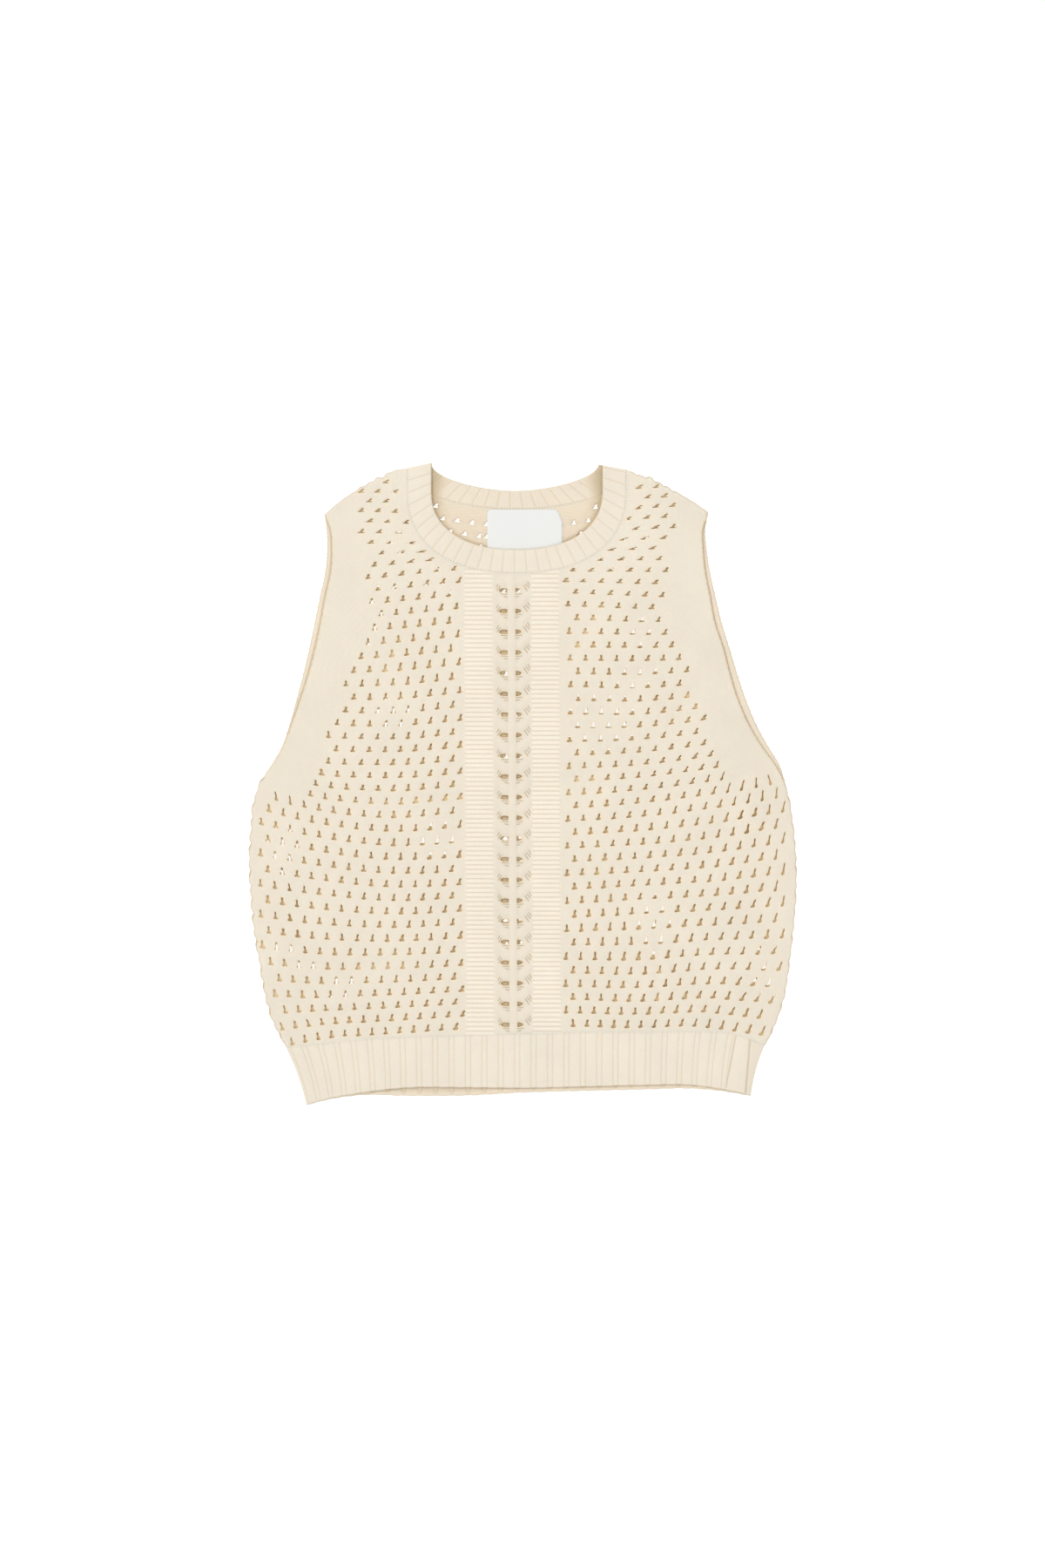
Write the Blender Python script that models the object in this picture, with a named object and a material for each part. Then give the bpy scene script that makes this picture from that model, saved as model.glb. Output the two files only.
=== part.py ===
"""Sleeveless jumper in cream cotton net knit, laid flat on its back.

X runs across the garment, Y from hem to neck and Z up from the surface that it lies on. The origin is
under the middle of its outline. All sizes and tables are in millimetres, and shell() turns them into metres.

The back lies flat. The front lies over it and meets it at the shoulders and the sides. Both end in a
ribbed hem, and a ribbed neckband in two halves edges the neck. A bare label lies inside the back of the neck.
"""

from collections import namedtuple
from math import cos, pi, sin

import bmesh
import bpy
import numpy as np
from mathutils import Vector
from mathutils.geometry import delaunay_2d_cdt

MM = 0.001

# ---- wall and layers
BACK_TOP = 2.2  # the back, its hem and its neckband lie between 0 and this height
WALL = 2.2  # the net knit's thickness
GAP = 0.3  # between pieces that touch or are sewn together
RIB_GROUND = 1.6  # a ribbed band's thickness in its grooves
BACK_RIB = 0.6  # how far the ribs stand out of the ground on the back
FRONT_RIB = 0.9  # and on the front
LABEL = 1.0  # the label's thickness

# ---- how far the front stands off the back
LOFT = 1.0  # in the middle of the body
LOFT_REACH = 24.0  # how far from a sewn edge the loft is reached
LOFT_POWER = 1.5
NECK_LOFT = 1.3  # at the front edge of the neck
NECK_REACH = 22.0
HEM_LOFT = 0.2  # at the bottom edge
HEM_REACH = 30.0

# ---- outline, with the left side's distances counted to the left
Side = namedtuple("Side", "height left right left_inset right_inset")
SIDES = (  # the back's edge from shoulder tip to hem, and how far inside it the front's armhole edge lies
    Side(241, 177.4, 165.6, 0.0, 0.0),
    Side(228, 175.6, 163.2, 3.2, 2.2),
    Side(212, 175.0, 164.2, 4.0, 3.0),
    Side(190, 176.8, 167.4, 4.8, 4.2),
    Side(168, 181.5, 172.3, 4.8, 4.8),
    Side(145, 186.1, 177.8, 5.2, 6.0),
    Side(122, 191.0, 184.9, 5.2, 5.6),
    Side(98, 196.6, 192.1, 4.6, 6.6),
    Side(74, 203.0, 200.2, 3.2, 7.0),
    Side(52, 209.2, 209.6, 1.6, 6.6),
    Side(34, 215.4, 219.4, 0.6, 5.6),
    Side(18, 224.2, 229.3, 0.0, 3.8),
    Side(4, 233.6, 234.0, 0.0, 0.8),
    Side(-14, 240.4, 238.5, 0.0, 0.0),
    Side(-40, 243.3, 242.3, 0.0, 0.0),
    Side(-68, 244.8, 244.5, 0.0, 0.0),
    Side(-100, 243.3, 244.4, 0.0, 0.0),
    Side(-130, 240.6, 242.0, 0.0, 0.0),
    Side(-160, 235.5, 238.6, 0.0, 0.0),
    Side(-190, 230.3, 233.9, 0.0, 0.0),
    Side(-214, 223.0, 226.2, 0.0, 0.0),
    Side(-235, 212.0, 216.4, 0.0, 0.0),
)
Shoulder = namedtuple("Shoulder", "share left right")
SHOULDERS = (  # heights along each shoulder, by its share of the way from the neck to the tip
    Shoulder(0.00, 287.4, 285.9),
    Shoulder(0.12, 284.2, 283.9),
    Shoulder(0.24, 282.4, 281.8),
    Shoulder(0.36, 280.0, 277.0),
    Shoulder(0.48, 274.6, 273.4),
    Shoulder(0.60, 268.9, 267.0),
    Shoulder(0.73, 261.2, 260.3),
    Shoulder(0.87, 251.9, 252.2),
    Shoulder(1.00, 241.1, 243.4),
)
NECK_POINT = {"left": -81.4, "right": 67.5}
SHOULDER_TIP = {"left": -177.4, "right": 165.8}

Hem = namedtuple("Hem", "share seam front back")
HEMS = (  # heights of the hem's seam and of its two bottom edges, by the share of the hem's half width
    Hem(-1.00, -235.0, -287.0, -287.3),
    Hem(-0.85, -232.2, -280.5, -281.5),
    Hem(-0.70, -228.6, -275.9, -278.2),
    Hem(-0.50, -226.2, -271.4, -278.8),
    Hem(-0.25, -224.8, -271.2, -278.6),
    Hem(0.00, -223.2, -271.6, -275.9),
    Hem(0.25, -221.8, -270.4, -274.4),
    Hem(0.50, -221.4, -269.1, -273.2),
    Hem(0.70, -221.2, -268.9, -272.3),
    Hem(0.85, -222.3, -272.7, -274.6),
    Hem(1.00, -233.5, -278.4, -279.0),
)
HEM_MIDDLE = 2.2
HEM_HALF = 214.2
HEM_DRAWN_IN = {"left": 18.4, "right": 12.4}  # how much narrower the bottom edge is than the seam
HEM_BOW = 1.8  # how far the hem's side edges curve in
HEM_SLANT = 4  # power of the share: only the outermost ribs slant

# ---- the neck: each edge is a rounded U, half_width wide and deep below the height top
NeckEdge = namedtuple("NeckEdge", "middle half_width top deep squareness")
NECK_INSIDE = NeckEdge(-5.3, 76.5, 262.0, 52.3, 2.27)  # front neckband's free edge
NECK_SEAM = NeckEdge(-5.5, 98.2, 262.0, 73.6, 2.32)  # front neckband's seam
BACK_NECK_TOP = NeckEdge(-6.9, 74.5, 285.4, 23.0, 1.72)  # back neckband's free edge
BACK_NECK_SEAM = NeckEdge(-5.9, 97.4, 281.6, 35.8, 2.0)  # back neckband's seam

# ---- ribs
HEM_RIB_PITCH = 14.7
HEM_RIB_START = -7.2  # from the hem's middle to a narrow rib
HEM_RIB = ((0.0, 0.55), (2.3, 0.0), (3.9, 1.0), (10.8, 1.0), (12.4, 0.0))  # place and share of its rise
NECK_RIB_PITCH = 10.2
NECK_RIB = ((0.0, 0.0), (1.6, 1.0), (8.6, 1.0))
RIB_END = 0.12  # share of the pitch that is left without a rib's edge at a band's ends

# ---- the centre of the front: a laddered column between two purl columns
LADDER_TOP = -10.0  # where the ladder's middle lies across, at the neck
LADDER_LOW = -8.2  # and at the hem
FIRST_GAP = 173.2  # height of the uppermost pair of gaps
GAP_PITCH = 18.49
GAP_PAIRS = 22
GAP_OUTLINE = ((3.7, -1.9), (8.0, -2.4), (12.2, -2.4), (10.6, 1.2), (7.4, 2.3), (4.3, 1.7))
MID_RIB = 0.9  # rise of the rib between the gaps
MID_RIB_HALF = 3.8
LOBE = 0.7  # rise of the slanted lobes under each gap
LOBE_CRESTS = ((13.6, -4.2), (8.0, -9.4))
LOBE_SPREAD = 4.0
PURL_INNER = 17.2
PURL_OUTER = 42.4
PURL_SHOULDER = 1.6
PURL_RISE = 0.5

# ---- the largest folds of the front: middle, half length, spread across, turn from upright, rise or fall
Fold = namedtuple("Fold", "across up half_length spread turn rise")
FOLDS = (
    Fold(121, -168, 58, 5.5, -2, -1.6),
    Fold(108, -150, 46, 9.0, 4, 0.7),
    Fold(204, -16, 36, 11.0, 12, 1.3),
    Fold(148, 72, 26, 8.0, 28, -1.1),
    Fold(47, 2, 20, 10.0, 70, -0.9),
    Fold(-94, -17, 52, 8.0, 88, -1.0),
    Fold(-122, 108, 24, 12.0, 10, -0.9),
    Fold(-128, -164, 34, 10.0, 80, -0.9),
    Fold(-206, -118, 44, 9.0, -8, 0.9),
    Fold(60, 140, 40, 10.0, 35, -0.8),
)
FOLD_STEPS = 4

# ---- the label
LABEL_LEFT = -31.9
LABEL_RIGHT = 35.3
LABEL_TOP = 245.6
LABEL_BOTTOM = 206.2
LABEL_CORNER = 3.0
LABEL_CORNER_POINTS = 4

# ---- mesh density
EDGE_STEP = 11.0
FRONT_STEP = 19.0
BACK_STEP = 60.0
ROW_STEP = 0.87  # a staggered grid's rows, as a share of its step
CLEAR = 0.42  # share of the step that inner points keep from the others
LINE_CLEAR = 2.5  # what the relief's points keep from the outline
FINE = 121  # points of a curve before it is spaced
SHARP = 40 * pi / 180  # edges sharper than this are shaded as edges

CREAM = (0.888, 0.795, 0.658)
CREAM_INSIDE = (0.80, 0.70, 0.49)
WHITE = (0.87, 0.87, 0.86)


# ---------------------------------------------------------------- curves
def column(table, name):
    return np.array([getattr(row, name) for row in table], float)


def through(at, places, values):
    """A smooth curve through (places, values), read at the places given. Places rise."""
    slopes = np.gradient(values, places)
    at = np.asarray(at, float)
    i = np.clip(np.searchsorted(places, at) - 1, 0, len(places) - 2)
    span = places[i + 1] - places[i]
    t = (at - places[i]) / span
    start = (1 + 2 * t) * (1 - t) ** 2 * values[i] + t * (1 - t) ** 2 * span * slopes[i]
    end = t * t * (3 - 2 * t) * values[i + 1] + t * t * (t - 1) * span * slopes[i + 1]
    return start + end


def side_at(height, side, front=False):
    """How far across the garment's edge lies at a height, with its sign."""
    heights = column(SIDES, "height")[::-1]
    reach = through(height, heights, column(SIDES, side)[::-1])
    if front:
        reach = reach - np.maximum(through(height, heights, column(SIDES, side + "_inset")[::-1]), 0)
    return -reach if side == "left" else reach


def shoulder_at(across, side):
    """Height of the shoulder line at a place across."""
    share = (np.asarray(across, float) - NECK_POINT[side]) / (SHOULDER_TIP[side] - NECK_POINT[side])
    return through(np.clip(share, 0, 1), column(SHOULDERS, "share"), column(SHOULDERS, side))


def hem_at(share, line):
    """A point of one of the hem's lines; share runs from -1 at the left end to 1."""
    share = np.asarray(share, float)
    across = HEM_MIDDLE + HEM_HALF * share
    if line != "seam":
        across = across - drawn_in(share)
    return np.stack([across, through(share, column(HEMS, "share"), column(HEMS, line))], axis=-1)


def drawn_in(share):
    """The hem's outer ribs slant inwards, and the middle ones stay upright."""
    drawn = np.where(share < 0, HEM_DRAWN_IN["left"], HEM_DRAWN_IN["right"])
    return drawn * np.sign(share) * np.abs(share) ** HEM_SLANT


def hem_point(share, down, line):
    """A point of a hem: down is 0 at the seam and 1 at the bottom edge."""
    top, bottom = hem_at(share, "seam"), hem_at(share, line)
    place = top + (bottom - top) * down
    bow = HEM_BOW * 4 * down * (1 - down)
    place[..., 0] -= bow * np.sign(share) * np.abs(share) ** HEM_SLANT
    return place


def neck_edge(edge):
    """Points of a neck edge from the left shoulder line, round the U, to the right shoulder line."""
    turns = np.linspace(pi, 2 * pi, FINE)
    power = 2 / edge.squareness
    across = edge.middle + edge.half_width * np.sign(np.cos(turns)) * np.abs(np.cos(turns)) ** power
    up = edge.top - edge.deep * np.abs(np.sin(turns)) ** power
    left, right = across[0], across[-1]
    points = np.stack([across, up], axis=1)
    start, end = (left, shoulder_at(left, "left")), (right, shoulder_at(right, "right"))
    return np.concatenate([[start], points, [end]])


def neck_stations(free_edge, seam):
    """Points along both edges of half a neckband where its ribs change height, and how much they rise."""
    free, sewn = neck_edge(free_edge), neck_edge(seam)
    length = (along(free)[-1] + along(sewn)[-1]) / 2
    stations = rib_stations(length, NECK_RIB_PITCH, 0, NECK_RIB)
    shares = stations[:, 0] / length
    return at_share(free, shares), at_share(sewn, shares), stations[:, 1]


def moved_out(points, distance):
    """A line that runs down, across and up, moved to its outer side."""
    run = np.gradient(points, axis=0)
    run /= np.linalg.norm(run, axis=1)[:, None]
    return points + distance * np.stack([run[:, 1], -run[:, 0]], axis=1)


def along(points):
    """Distance travelled at each point of a line."""
    steps = np.linalg.norm(np.diff(points, axis=0), axis=1)
    return np.concatenate([[0], np.cumsum(steps)])


def at_share(points, share):
    """Points of a line at shares of its length."""
    run = along(points)
    return np.stack([np.interp(np.asarray(share) * run[-1], run, points[:, k]) for k in (0, 1)], axis=-1)


def spaced(points, step):
    """The line again, with points about step apart."""
    count = max(2, round(along(points)[-1] / step) + 1)
    return at_share(points, np.linspace(0, 1, count))


# ---------------------------------------------------------------- outlines
def panel_outline(front):
    """The body panel's outline without its hem, anticlockwise from the left end of the hem's seam."""
    seam = hem_at(np.linspace(-1, 1, FINE), "seam") + [0, GAP]
    low = {"left": seam[0, 1], "right": seam[-1, 1]}
    sides = {}
    for side in ("left", "right"):
        heights = np.linspace(low[side], SIDES[0].height, FINE)
        sides[side] = np.stack([side_at(heights, side, front), heights], axis=1)
    edges = (NECK_INSIDE, NECK_SEAM) if front else (BACK_NECK_TOP, BACK_NECK_SEAM)
    neck = moved_out(neck_stations(*edges)[1], GAP)
    shoulders = {}
    for side, end in (("left", neck[0, 0]), ("right", neck[-1, 0])):
        across = np.linspace(end, SHOULDER_TIP[side], FINE)
        shoulders[side] = np.stack([across, shoulder_at(across, side)], axis=1)
    before = (seam, sides["right"], shoulders["right"][::-1])
    after = (shoulders["left"], sides["left"][::-1])
    points = [spaced(run, EDGE_STEP)[:-1] for run in before]
    points += [neck[::-1][:-1]]
    points += [spaced(run, EDGE_STEP)[:-1] for run in after]
    return np.concatenate(points)


def inside(points, outline):
    """Whether each point lies inside a closed outline."""
    x, y = points[:, 0, None], points[:, 1, None]
    x0, y0 = outline[:, 0], outline[:, 1]
    x1, y1 = np.roll(x0, -1), np.roll(y0, -1)
    rise = np.where(y1 == y0, 1e-9, y1 - y0)
    crossing = ((y0 > y) != (y1 > y)) & (x < (x1 - x0) * (y - y0) / rise + x0)
    return crossing.sum(axis=1) % 2 == 1


def nearest(points, others):
    """Distance from each point to the nearest of the others."""
    return np.sqrt(((points[:, None] - others[None]) ** 2).sum(axis=2)).min(axis=1)


def fill(outline, taken, step):
    """Points of a staggered grid inside an outline, clear of those that are taken."""
    low, high = outline.min(axis=0), outline.max(axis=0)
    rows = []
    for row, up in enumerate(np.arange(low[1], high[1], step * ROW_STEP)):
        across = np.arange(low[0] + (row % 2) * step / 2, high[0], step)
        rows.append(np.stack([across, np.full(len(across), up)], axis=1))
    grid = np.concatenate(rows)
    grid = grid[inside(grid, outline)]
    return grid[nearest(grid, taken) > CLEAR * step]


# ---------------------------------------------------------------- heights of the front
def lift(points):
    """How far the front's underside stands over the back's top."""
    x, y = points[:, 0], points[:, 1]
    height = np.clip(y, SIDES[-1].height, SIDES[0].height)
    to_left = x - side_at(height, "left")
    to_right = side_at(height, "right") - x
    over = np.where(x < HEM_MIDDLE, shoulder_at(x, "left"), shoulder_at(x, "right"))
    from_edge = np.minimum(np.minimum(to_left, to_right), over - y)
    loft = LOFT * (1 - np.exp(-((np.maximum(from_edge, 0) / LOFT_REACH) ** LOFT_POWER)))
    neck = NECK_INSIDE
    u_up = np.where(y > neck.top, 0, neck.top - y)
    u_out = (np.abs(x - neck.middle) / neck.half_width) ** neck.squareness
    u_out = (u_out + (u_up / neck.deep) ** neck.squareness) ** (1 / neck.squareness)
    from_neck = np.maximum(u_out - 1, 0) * neck.half_width
    loft *= 1 - (1 - NECK_LOFT / LOFT) * np.exp(-((from_neck / NECK_REACH) ** 2))
    share = np.clip((x - HEM_MIDDLE) / HEM_HALF, -1, 1)
    from_hem = np.maximum(y - hem_at(share, "front")[:, 1], 0)
    return loft * (1 - (1 - HEM_LOFT / LOFT) * np.exp(-((from_hem / HEM_REACH) ** 2)))


def folds(points):
    """The rise and fall of the large folds."""
    total = np.zeros(len(points))
    for fold in FOLDS:
        turn = fold.turn * pi / 180
        dx, dy = points[:, 0] - fold.across, points[:, 1] - fold.up
        run, away = dx * sin(turn) + dy * cos(turn), dx * cos(turn) - dy * sin(turn)
        total += fold.rise * np.exp(-((run / fold.half_length) ** 4) - (away / fold.spread) ** 2)
    return total


def front_under(points):
    """Height of the front's underside."""
    loft = lift(points)
    return BACK_TOP + GAP + np.maximum(loft + folds(points) * np.minimum(loft / LOFT, 1), 0)


def ladder_middle(up):
    """Where the ladder's middle lies across, at a height."""
    share = (FIRST_GAP - np.asarray(up, float)) / (GAP_PITCH * (GAP_PAIRS - 1))
    return LADDER_TOP + (LADDER_LOW - LADDER_TOP) * share


def gap_heights():
    return FIRST_GAP - GAP_PITCH * np.arange(GAP_PAIRS)


def front_relief(points):
    """The raised columns, rib and lobes in the centre of the front."""
    out = np.abs(points[:, 0] - ladder_middle(points[:, 1]))
    purl = np.minimum((out - PURL_INNER) / PURL_SHOULDER, (PURL_OUTER - out) / PURL_SHOULDER)
    rise = PURL_RISE * np.clip(purl, 0, 1)
    rise += MID_RIB * np.clip(1 - out / MID_RIB_HALF, 0, 1)
    for up in gap_heights():
        for crest_out, crest_up in LOBE_CRESTS:
            away = (out - crest_out) ** 2 + (points[:, 1] - up - crest_up) ** 2
            rise += LOBE * np.exp(-away / LOBE_SPREAD**2)
    return rise


# ---------------------------------------------------------------- solids
def material(name, colour, roughness):
    made = bpy.data.materials.new(name)
    made.use_nodes = True
    shader = made.node_tree.nodes["Principled BSDF"]
    shader.inputs["Base Color"].default_value = (*colour, 1)
    shader.inputs["Roughness"].default_value = roughness
    shader.inputs["Metallic"].default_value = 0
    return made


def shell(name, plan, faces, under, over, finish):
    """A closed wall over a flat pattern: plan holds its points, under and over their two heights."""
    made = bmesh.new()
    low = [made.verts.new((x * MM, y * MM, z * MM)) for (x, y), z in zip(plan, under)]
    top = [made.verts.new((x * MM, y * MM, z * MM)) for (x, y), z in zip(plan, over)]
    sides = set()
    for face in faces:
        made.faces.new([top[i] for i in face])
        made.faces.new([low[i] for i in reversed(face)])
        sides.update(zip(face, [*face[1:], face[0]]))
    for a, b in sorted(sides):
        if (b, a) not in sides:
            made.faces.new([low[a], low[b], top[b], top[a]])
    mesh = bpy.data.meshes.new(name)
    made.to_mesh(mesh)
    made.free()
    mesh.materials.append(finish)
    mesh.shade_smooth()
    mesh.set_sharp_from_angle(angle=SHARP)
    piece = bpy.data.objects.new(name, mesh)
    bpy.context.scene.collection.objects.link(piece)
    return piece


def triangles(outline, gaps, inner):
    """Triangles between an outline, its gaps and the points inside it."""
    loops = [outline, *gaps]
    edges, start = [], 0
    for loop in loops:
        count = len(loop)
        edges += [(start + i, start + (i + 1) % count) for i in range(count)]
        start += count
    points = [Vector(p) for p in np.concatenate([*loops, inner])]
    plan, _, faces = delaunay_2d_cdt(points, edges, [], 1, 1e-6)[:3]
    plan, faces = np.array([tuple(p) for p in plan]), np.array([list(face) for face in faces])
    middles = plan[faces].mean(axis=1)
    kept = np.ones(len(faces), bool)
    for gap in gaps:
        kept &= ~inside(middles, gap)
    return plan, faces[kept].tolist()


def grid_faces(columns, rows):
    """Faces of a grid whose points are numbered column by column, from the first row up."""
    return [
        [c * rows + r, (c + 1) * rows + r, (c + 1) * rows + r + 1, c * rows + r + 1]
        for c in range(columns - 1)
        for r in range(rows - 1)
    ]


def rib_stations(length, pitch, start, profile):
    """Places along a band and the share of the ribs' rise at each, with a place at both ends."""
    first = int(np.floor(-start / pitch)) - 1
    stations = []
    for rib in range(first, int(length / pitch) + 3):
        for place, share in profile:
            at = start + rib * pitch + place
            if pitch * RIB_END < at < length - pitch * RIB_END:
                stations.append((at, share))
    return np.array([(0.0, 0.5), *stations, (length, 0.5)])


def front_panel(finish):
    outline = panel_outline(front=True)
    gaps, lines = [], []
    for up in gap_heights():
        for mirror in (-1, 1):
            corners = [(ladder_middle(up + dy) + mirror * dx, up + dy) for dx, dy in GAP_OUTLINE]
            gaps.append(np.array(corners))
            for dx, dy in LOBE_CRESTS:
                lines.append((ladder_middle(up) + mirror * dx, up + dy))
            lines.append((ladder_middle(up) + mirror * MID_RIB_HALF, up - GAP_PITCH / 2 + 1))
            for out in (PURL_INNER, PURL_INNER + PURL_SHOULDER, PURL_OUTER - PURL_SHOULDER, PURL_OUTER):
                lines.append((ladder_middle(up) + mirror * out, up))
        lines += [(ladder_middle(up), up), (ladder_middle(up), up - GAP_PITCH / 2)]
    for fold in FOLDS:
        turn = fold.turn * pi / 180
        for run in np.linspace(-fold.half_length, fold.half_length, FOLD_STEPS):
            for away in (-fold.spread, 0, fold.spread):
                across = fold.across + run * sin(turn) + away * cos(turn)
                lines.append((across, fold.up + run * cos(turn) - away * sin(turn)))
    lines = np.array(lines)
    lines = lines[inside(lines, outline) & (nearest(lines, outline) > LINE_CLEAR)]
    taken = np.concatenate([outline, *gaps, lines])
    inner = np.concatenate([lines, fill(outline, taken, FRONT_STEP)])
    plan, faces = triangles(outline, gaps, inner)
    under = front_under(plan)
    return shell("front", plan, faces, under, under + WALL + front_relief(plan), finish)


def back_panel(finish):
    outline = panel_outline(front=False)
    plan, faces = triangles(outline, [], fill(outline, outline, BACK_STEP))
    flat = np.zeros(len(plan))
    return shell("back", plan, faces, flat, flat + BACK_TOP, finish)


def hem_band(name, line, downs, finish):
    """A hem with upright ribs: line names its bottom edge in HEMS, downs are its rows."""
    length = 2 * HEM_HALF
    start = HEM_HALF + HEM_RIB_START
    stations = rib_stations(length, HEM_RIB_PITCH, start, HEM_RIB)
    shares = stations[:, 0] / HEM_HALF - 1
    rows = [hem_point(shares, down, line) for down in downs[::-1]]
    plan = np.stack(rows, axis=1).reshape(-1, 2)
    rise = np.repeat(stations[:, 1], len(downs))
    faces = grid_faces(len(stations), len(downs))
    if line == "front":
        under, rib = front_under(plan), FRONT_RIB
    else:
        under, rib = np.zeros(len(plan)), BACK_RIB
    return shell(name, plan, faces, under, under + RIB_GROUND + rib * rise, finish)


def neck_band(name, free_edge, seam, rows, finish):
    """Half of the neckband, from shoulder to shoulder, with ribs from its free edge to its seam."""
    free, sewn, shares = neck_stations(free_edge, seam)
    out = np.linspace(0, 1, rows)
    plan = (sewn[:, None] + (free - sewn)[:, None] * out[None, :, None]).reshape(-1, 2)
    rise = np.repeat(shares, rows)
    faces = grid_faces(len(free), rows)
    if name.endswith("front"):
        under, rib = front_under(plan), FRONT_RIB
    else:
        under, rib = np.zeros(len(plan)), BACK_RIB
    return shell(name, plan, faces, under, under + RIB_GROUND + rib * rise, finish)


def label(finish):
    """A plain rectangle with small round corners."""
    corners = (
        (LABEL_RIGHT, LABEL_TOP, 0),
        (LABEL_LEFT, LABEL_TOP, 1),
        (LABEL_LEFT, LABEL_BOTTOM, 2),
        (LABEL_RIGHT, LABEL_BOTTOM, 3),
    )
    outline = []
    for x, y, quarter in corners:
        middle_x = x - LABEL_CORNER * (1 if quarter in (0, 3) else -1)
        middle_y = y - LABEL_CORNER * (1 if quarter in (0, 1) else -1)
        for turn in np.linspace(quarter * pi / 2, (quarter + 1) * pi / 2, LABEL_CORNER_POINTS):
            outline.append((middle_x + LABEL_CORNER * cos(turn), middle_y + LABEL_CORNER * sin(turn)))
    middle = ((LABEL_LEFT + LABEL_RIGHT) / 2, (LABEL_TOP + LABEL_BOTTOM) / 2)
    plan, faces = triangles(np.array(outline), [], np.array([middle]))
    under = np.full(len(plan), BACK_TOP + GAP)
    return shell("label", plan, faces, under, under + LABEL, finish)


def main():
    for old in list(bpy.data.objects):
        bpy.data.objects.remove(old)
    knit = material("cream_knit", CREAM, 0.9)
    knit_inside = material("cream_knit_inside", CREAM_INSIDE, 0.92)
    ribbing = material("cream_rib", CREAM, 0.88)
    tape = material("label_tape", WHITE, 0.6)
    back_panel(knit_inside)
    front_panel(knit)
    hem_band("hem_back", "back", (0.0, 0.5, 1.0), knit_inside)
    hem_band("hem_front", "front", (0.0, 0.35, 0.7, 1.0), ribbing)
    neck_band("neckband_back", BACK_NECK_TOP, BACK_NECK_SEAM, 3, knit_inside)
    neck_band("neckband_front", NECK_INSIDE, NECK_SEAM, 4, ribbing)
    label(tape)


main()
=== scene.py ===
"""Sleeveless jumper in cream cotton net knit, laid flat and seen from straight above: its looks.

X runs across the garment, Y from hem to neck and Z up from the surface that it lies on. All tables are in
millimetres, and make_piece() turns them into metres.

The net of each panel is charted by columns and rows: its holes lie in staggered rows, with a column number
that grows to the right and a row number that grows from the hem to the neck.
"""

from collections import namedtuple
from math import cos, pi, sin

import bpy
import numpy as np
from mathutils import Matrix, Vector
from mathutils.geometry import delaunay_2d_cdt
from mathutils.kdtree import KDTree


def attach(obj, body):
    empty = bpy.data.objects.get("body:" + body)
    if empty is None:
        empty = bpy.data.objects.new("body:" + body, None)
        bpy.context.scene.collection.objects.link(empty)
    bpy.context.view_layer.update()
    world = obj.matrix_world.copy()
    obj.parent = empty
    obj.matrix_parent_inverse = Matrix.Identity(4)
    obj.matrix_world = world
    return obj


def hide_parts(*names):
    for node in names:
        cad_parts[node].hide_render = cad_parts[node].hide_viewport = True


MM = 0.001

# ---- wall and layers
BACK_TOP = 2.2
WALL = 1.9
RIB_GROUND = 1.6
BACK_RIB = 0.6
FRONT_RIB = 0.7

# ---- how far the front stands off the back
LOFT = 0.75
LOFT_REACH = 24.0
LOFT_POWER = 1.5
NECK_LOFT = 1.3
NECK_REACH = 22.0
HEM_LOFT = 0.2
HEM_REACH = 30.0

# ---- outline, with the left side's distances counted to the left
Side = namedtuple("Side", "height left right left_inset right_inset")
SIDES = (  # the back's edge from shoulder tip to hem, and how far inside it the front's armhole edge lies
    Side(241, 177.4, 165.6, 0.0, 0.0),
    Side(228, 175.6, 163.2, 3.2, 2.2),
    Side(212, 175.0, 164.2, 4.0, 3.0),
    Side(190, 176.8, 167.4, 4.8, 4.2),
    Side(168, 181.5, 172.3, 4.8, 4.8),
    Side(145, 186.1, 177.8, 5.2, 6.0),
    Side(122, 191.0, 184.9, 5.2, 5.6),
    Side(98, 196.6, 192.1, 4.6, 6.6),
    Side(74, 203.0, 200.2, 3.2, 7.0),
    Side(52, 209.2, 209.6, 1.6, 6.6),
    Side(34, 215.4, 219.4, 0.6, 5.6),
    Side(18, 224.2, 229.3, 0.0, 3.8),
    Side(4, 233.6, 234.0, 0.0, 0.8),
    Side(-14, 240.4, 238.5, 0.0, 0.0),
    Side(-40, 243.3, 242.3, 0.0, 0.0),
    Side(-68, 244.8, 244.5, 0.0, 0.0),
    Side(-100, 243.3, 244.4, 0.0, 0.0),
    Side(-130, 240.6, 242.0, 0.0, 0.0),
    Side(-160, 235.5, 238.6, 0.0, 0.0),
    Side(-190, 230.3, 233.9, 0.0, 0.0),
    Side(-214, 223.0, 226.2, 0.0, 0.0),
    Side(-235, 212.0, 216.4, 0.0, 0.0),
)
SIDE_WAVES = {"left": 0.75, "right": 0.45}
SIDE_WAVE_PITCH = 12.4
ARMHOLE_END = {"left": 14.0, "right": 0.0}  # height where the side seam begins
TIP_HEIGHT = 241.0  # height of the shoulders' tips
SIDES_MEET = -14.0  # height under which the front reaches as far out as the back
Shoulder = namedtuple("Shoulder", "share left right")
SHOULDERS = (  # heights along each shoulder, by its share of the way from the neck to the tip
    Shoulder(0.00, 287.4, 285.9),
    Shoulder(0.12, 284.2, 283.9),
    Shoulder(0.24, 282.4, 281.8),
    Shoulder(0.36, 280.0, 277.0),
    Shoulder(0.48, 274.6, 273.4),
    Shoulder(0.60, 268.9, 267.0),
    Shoulder(0.73, 261.2, 260.3),
    Shoulder(0.87, 251.9, 252.2),
    Shoulder(1.00, 241.1, 243.4),
)
NECK_POINT = {"left": -81.4, "right": 67.5}
SHOULDER_TIP = {"left": -177.4, "right": 165.8}

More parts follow.
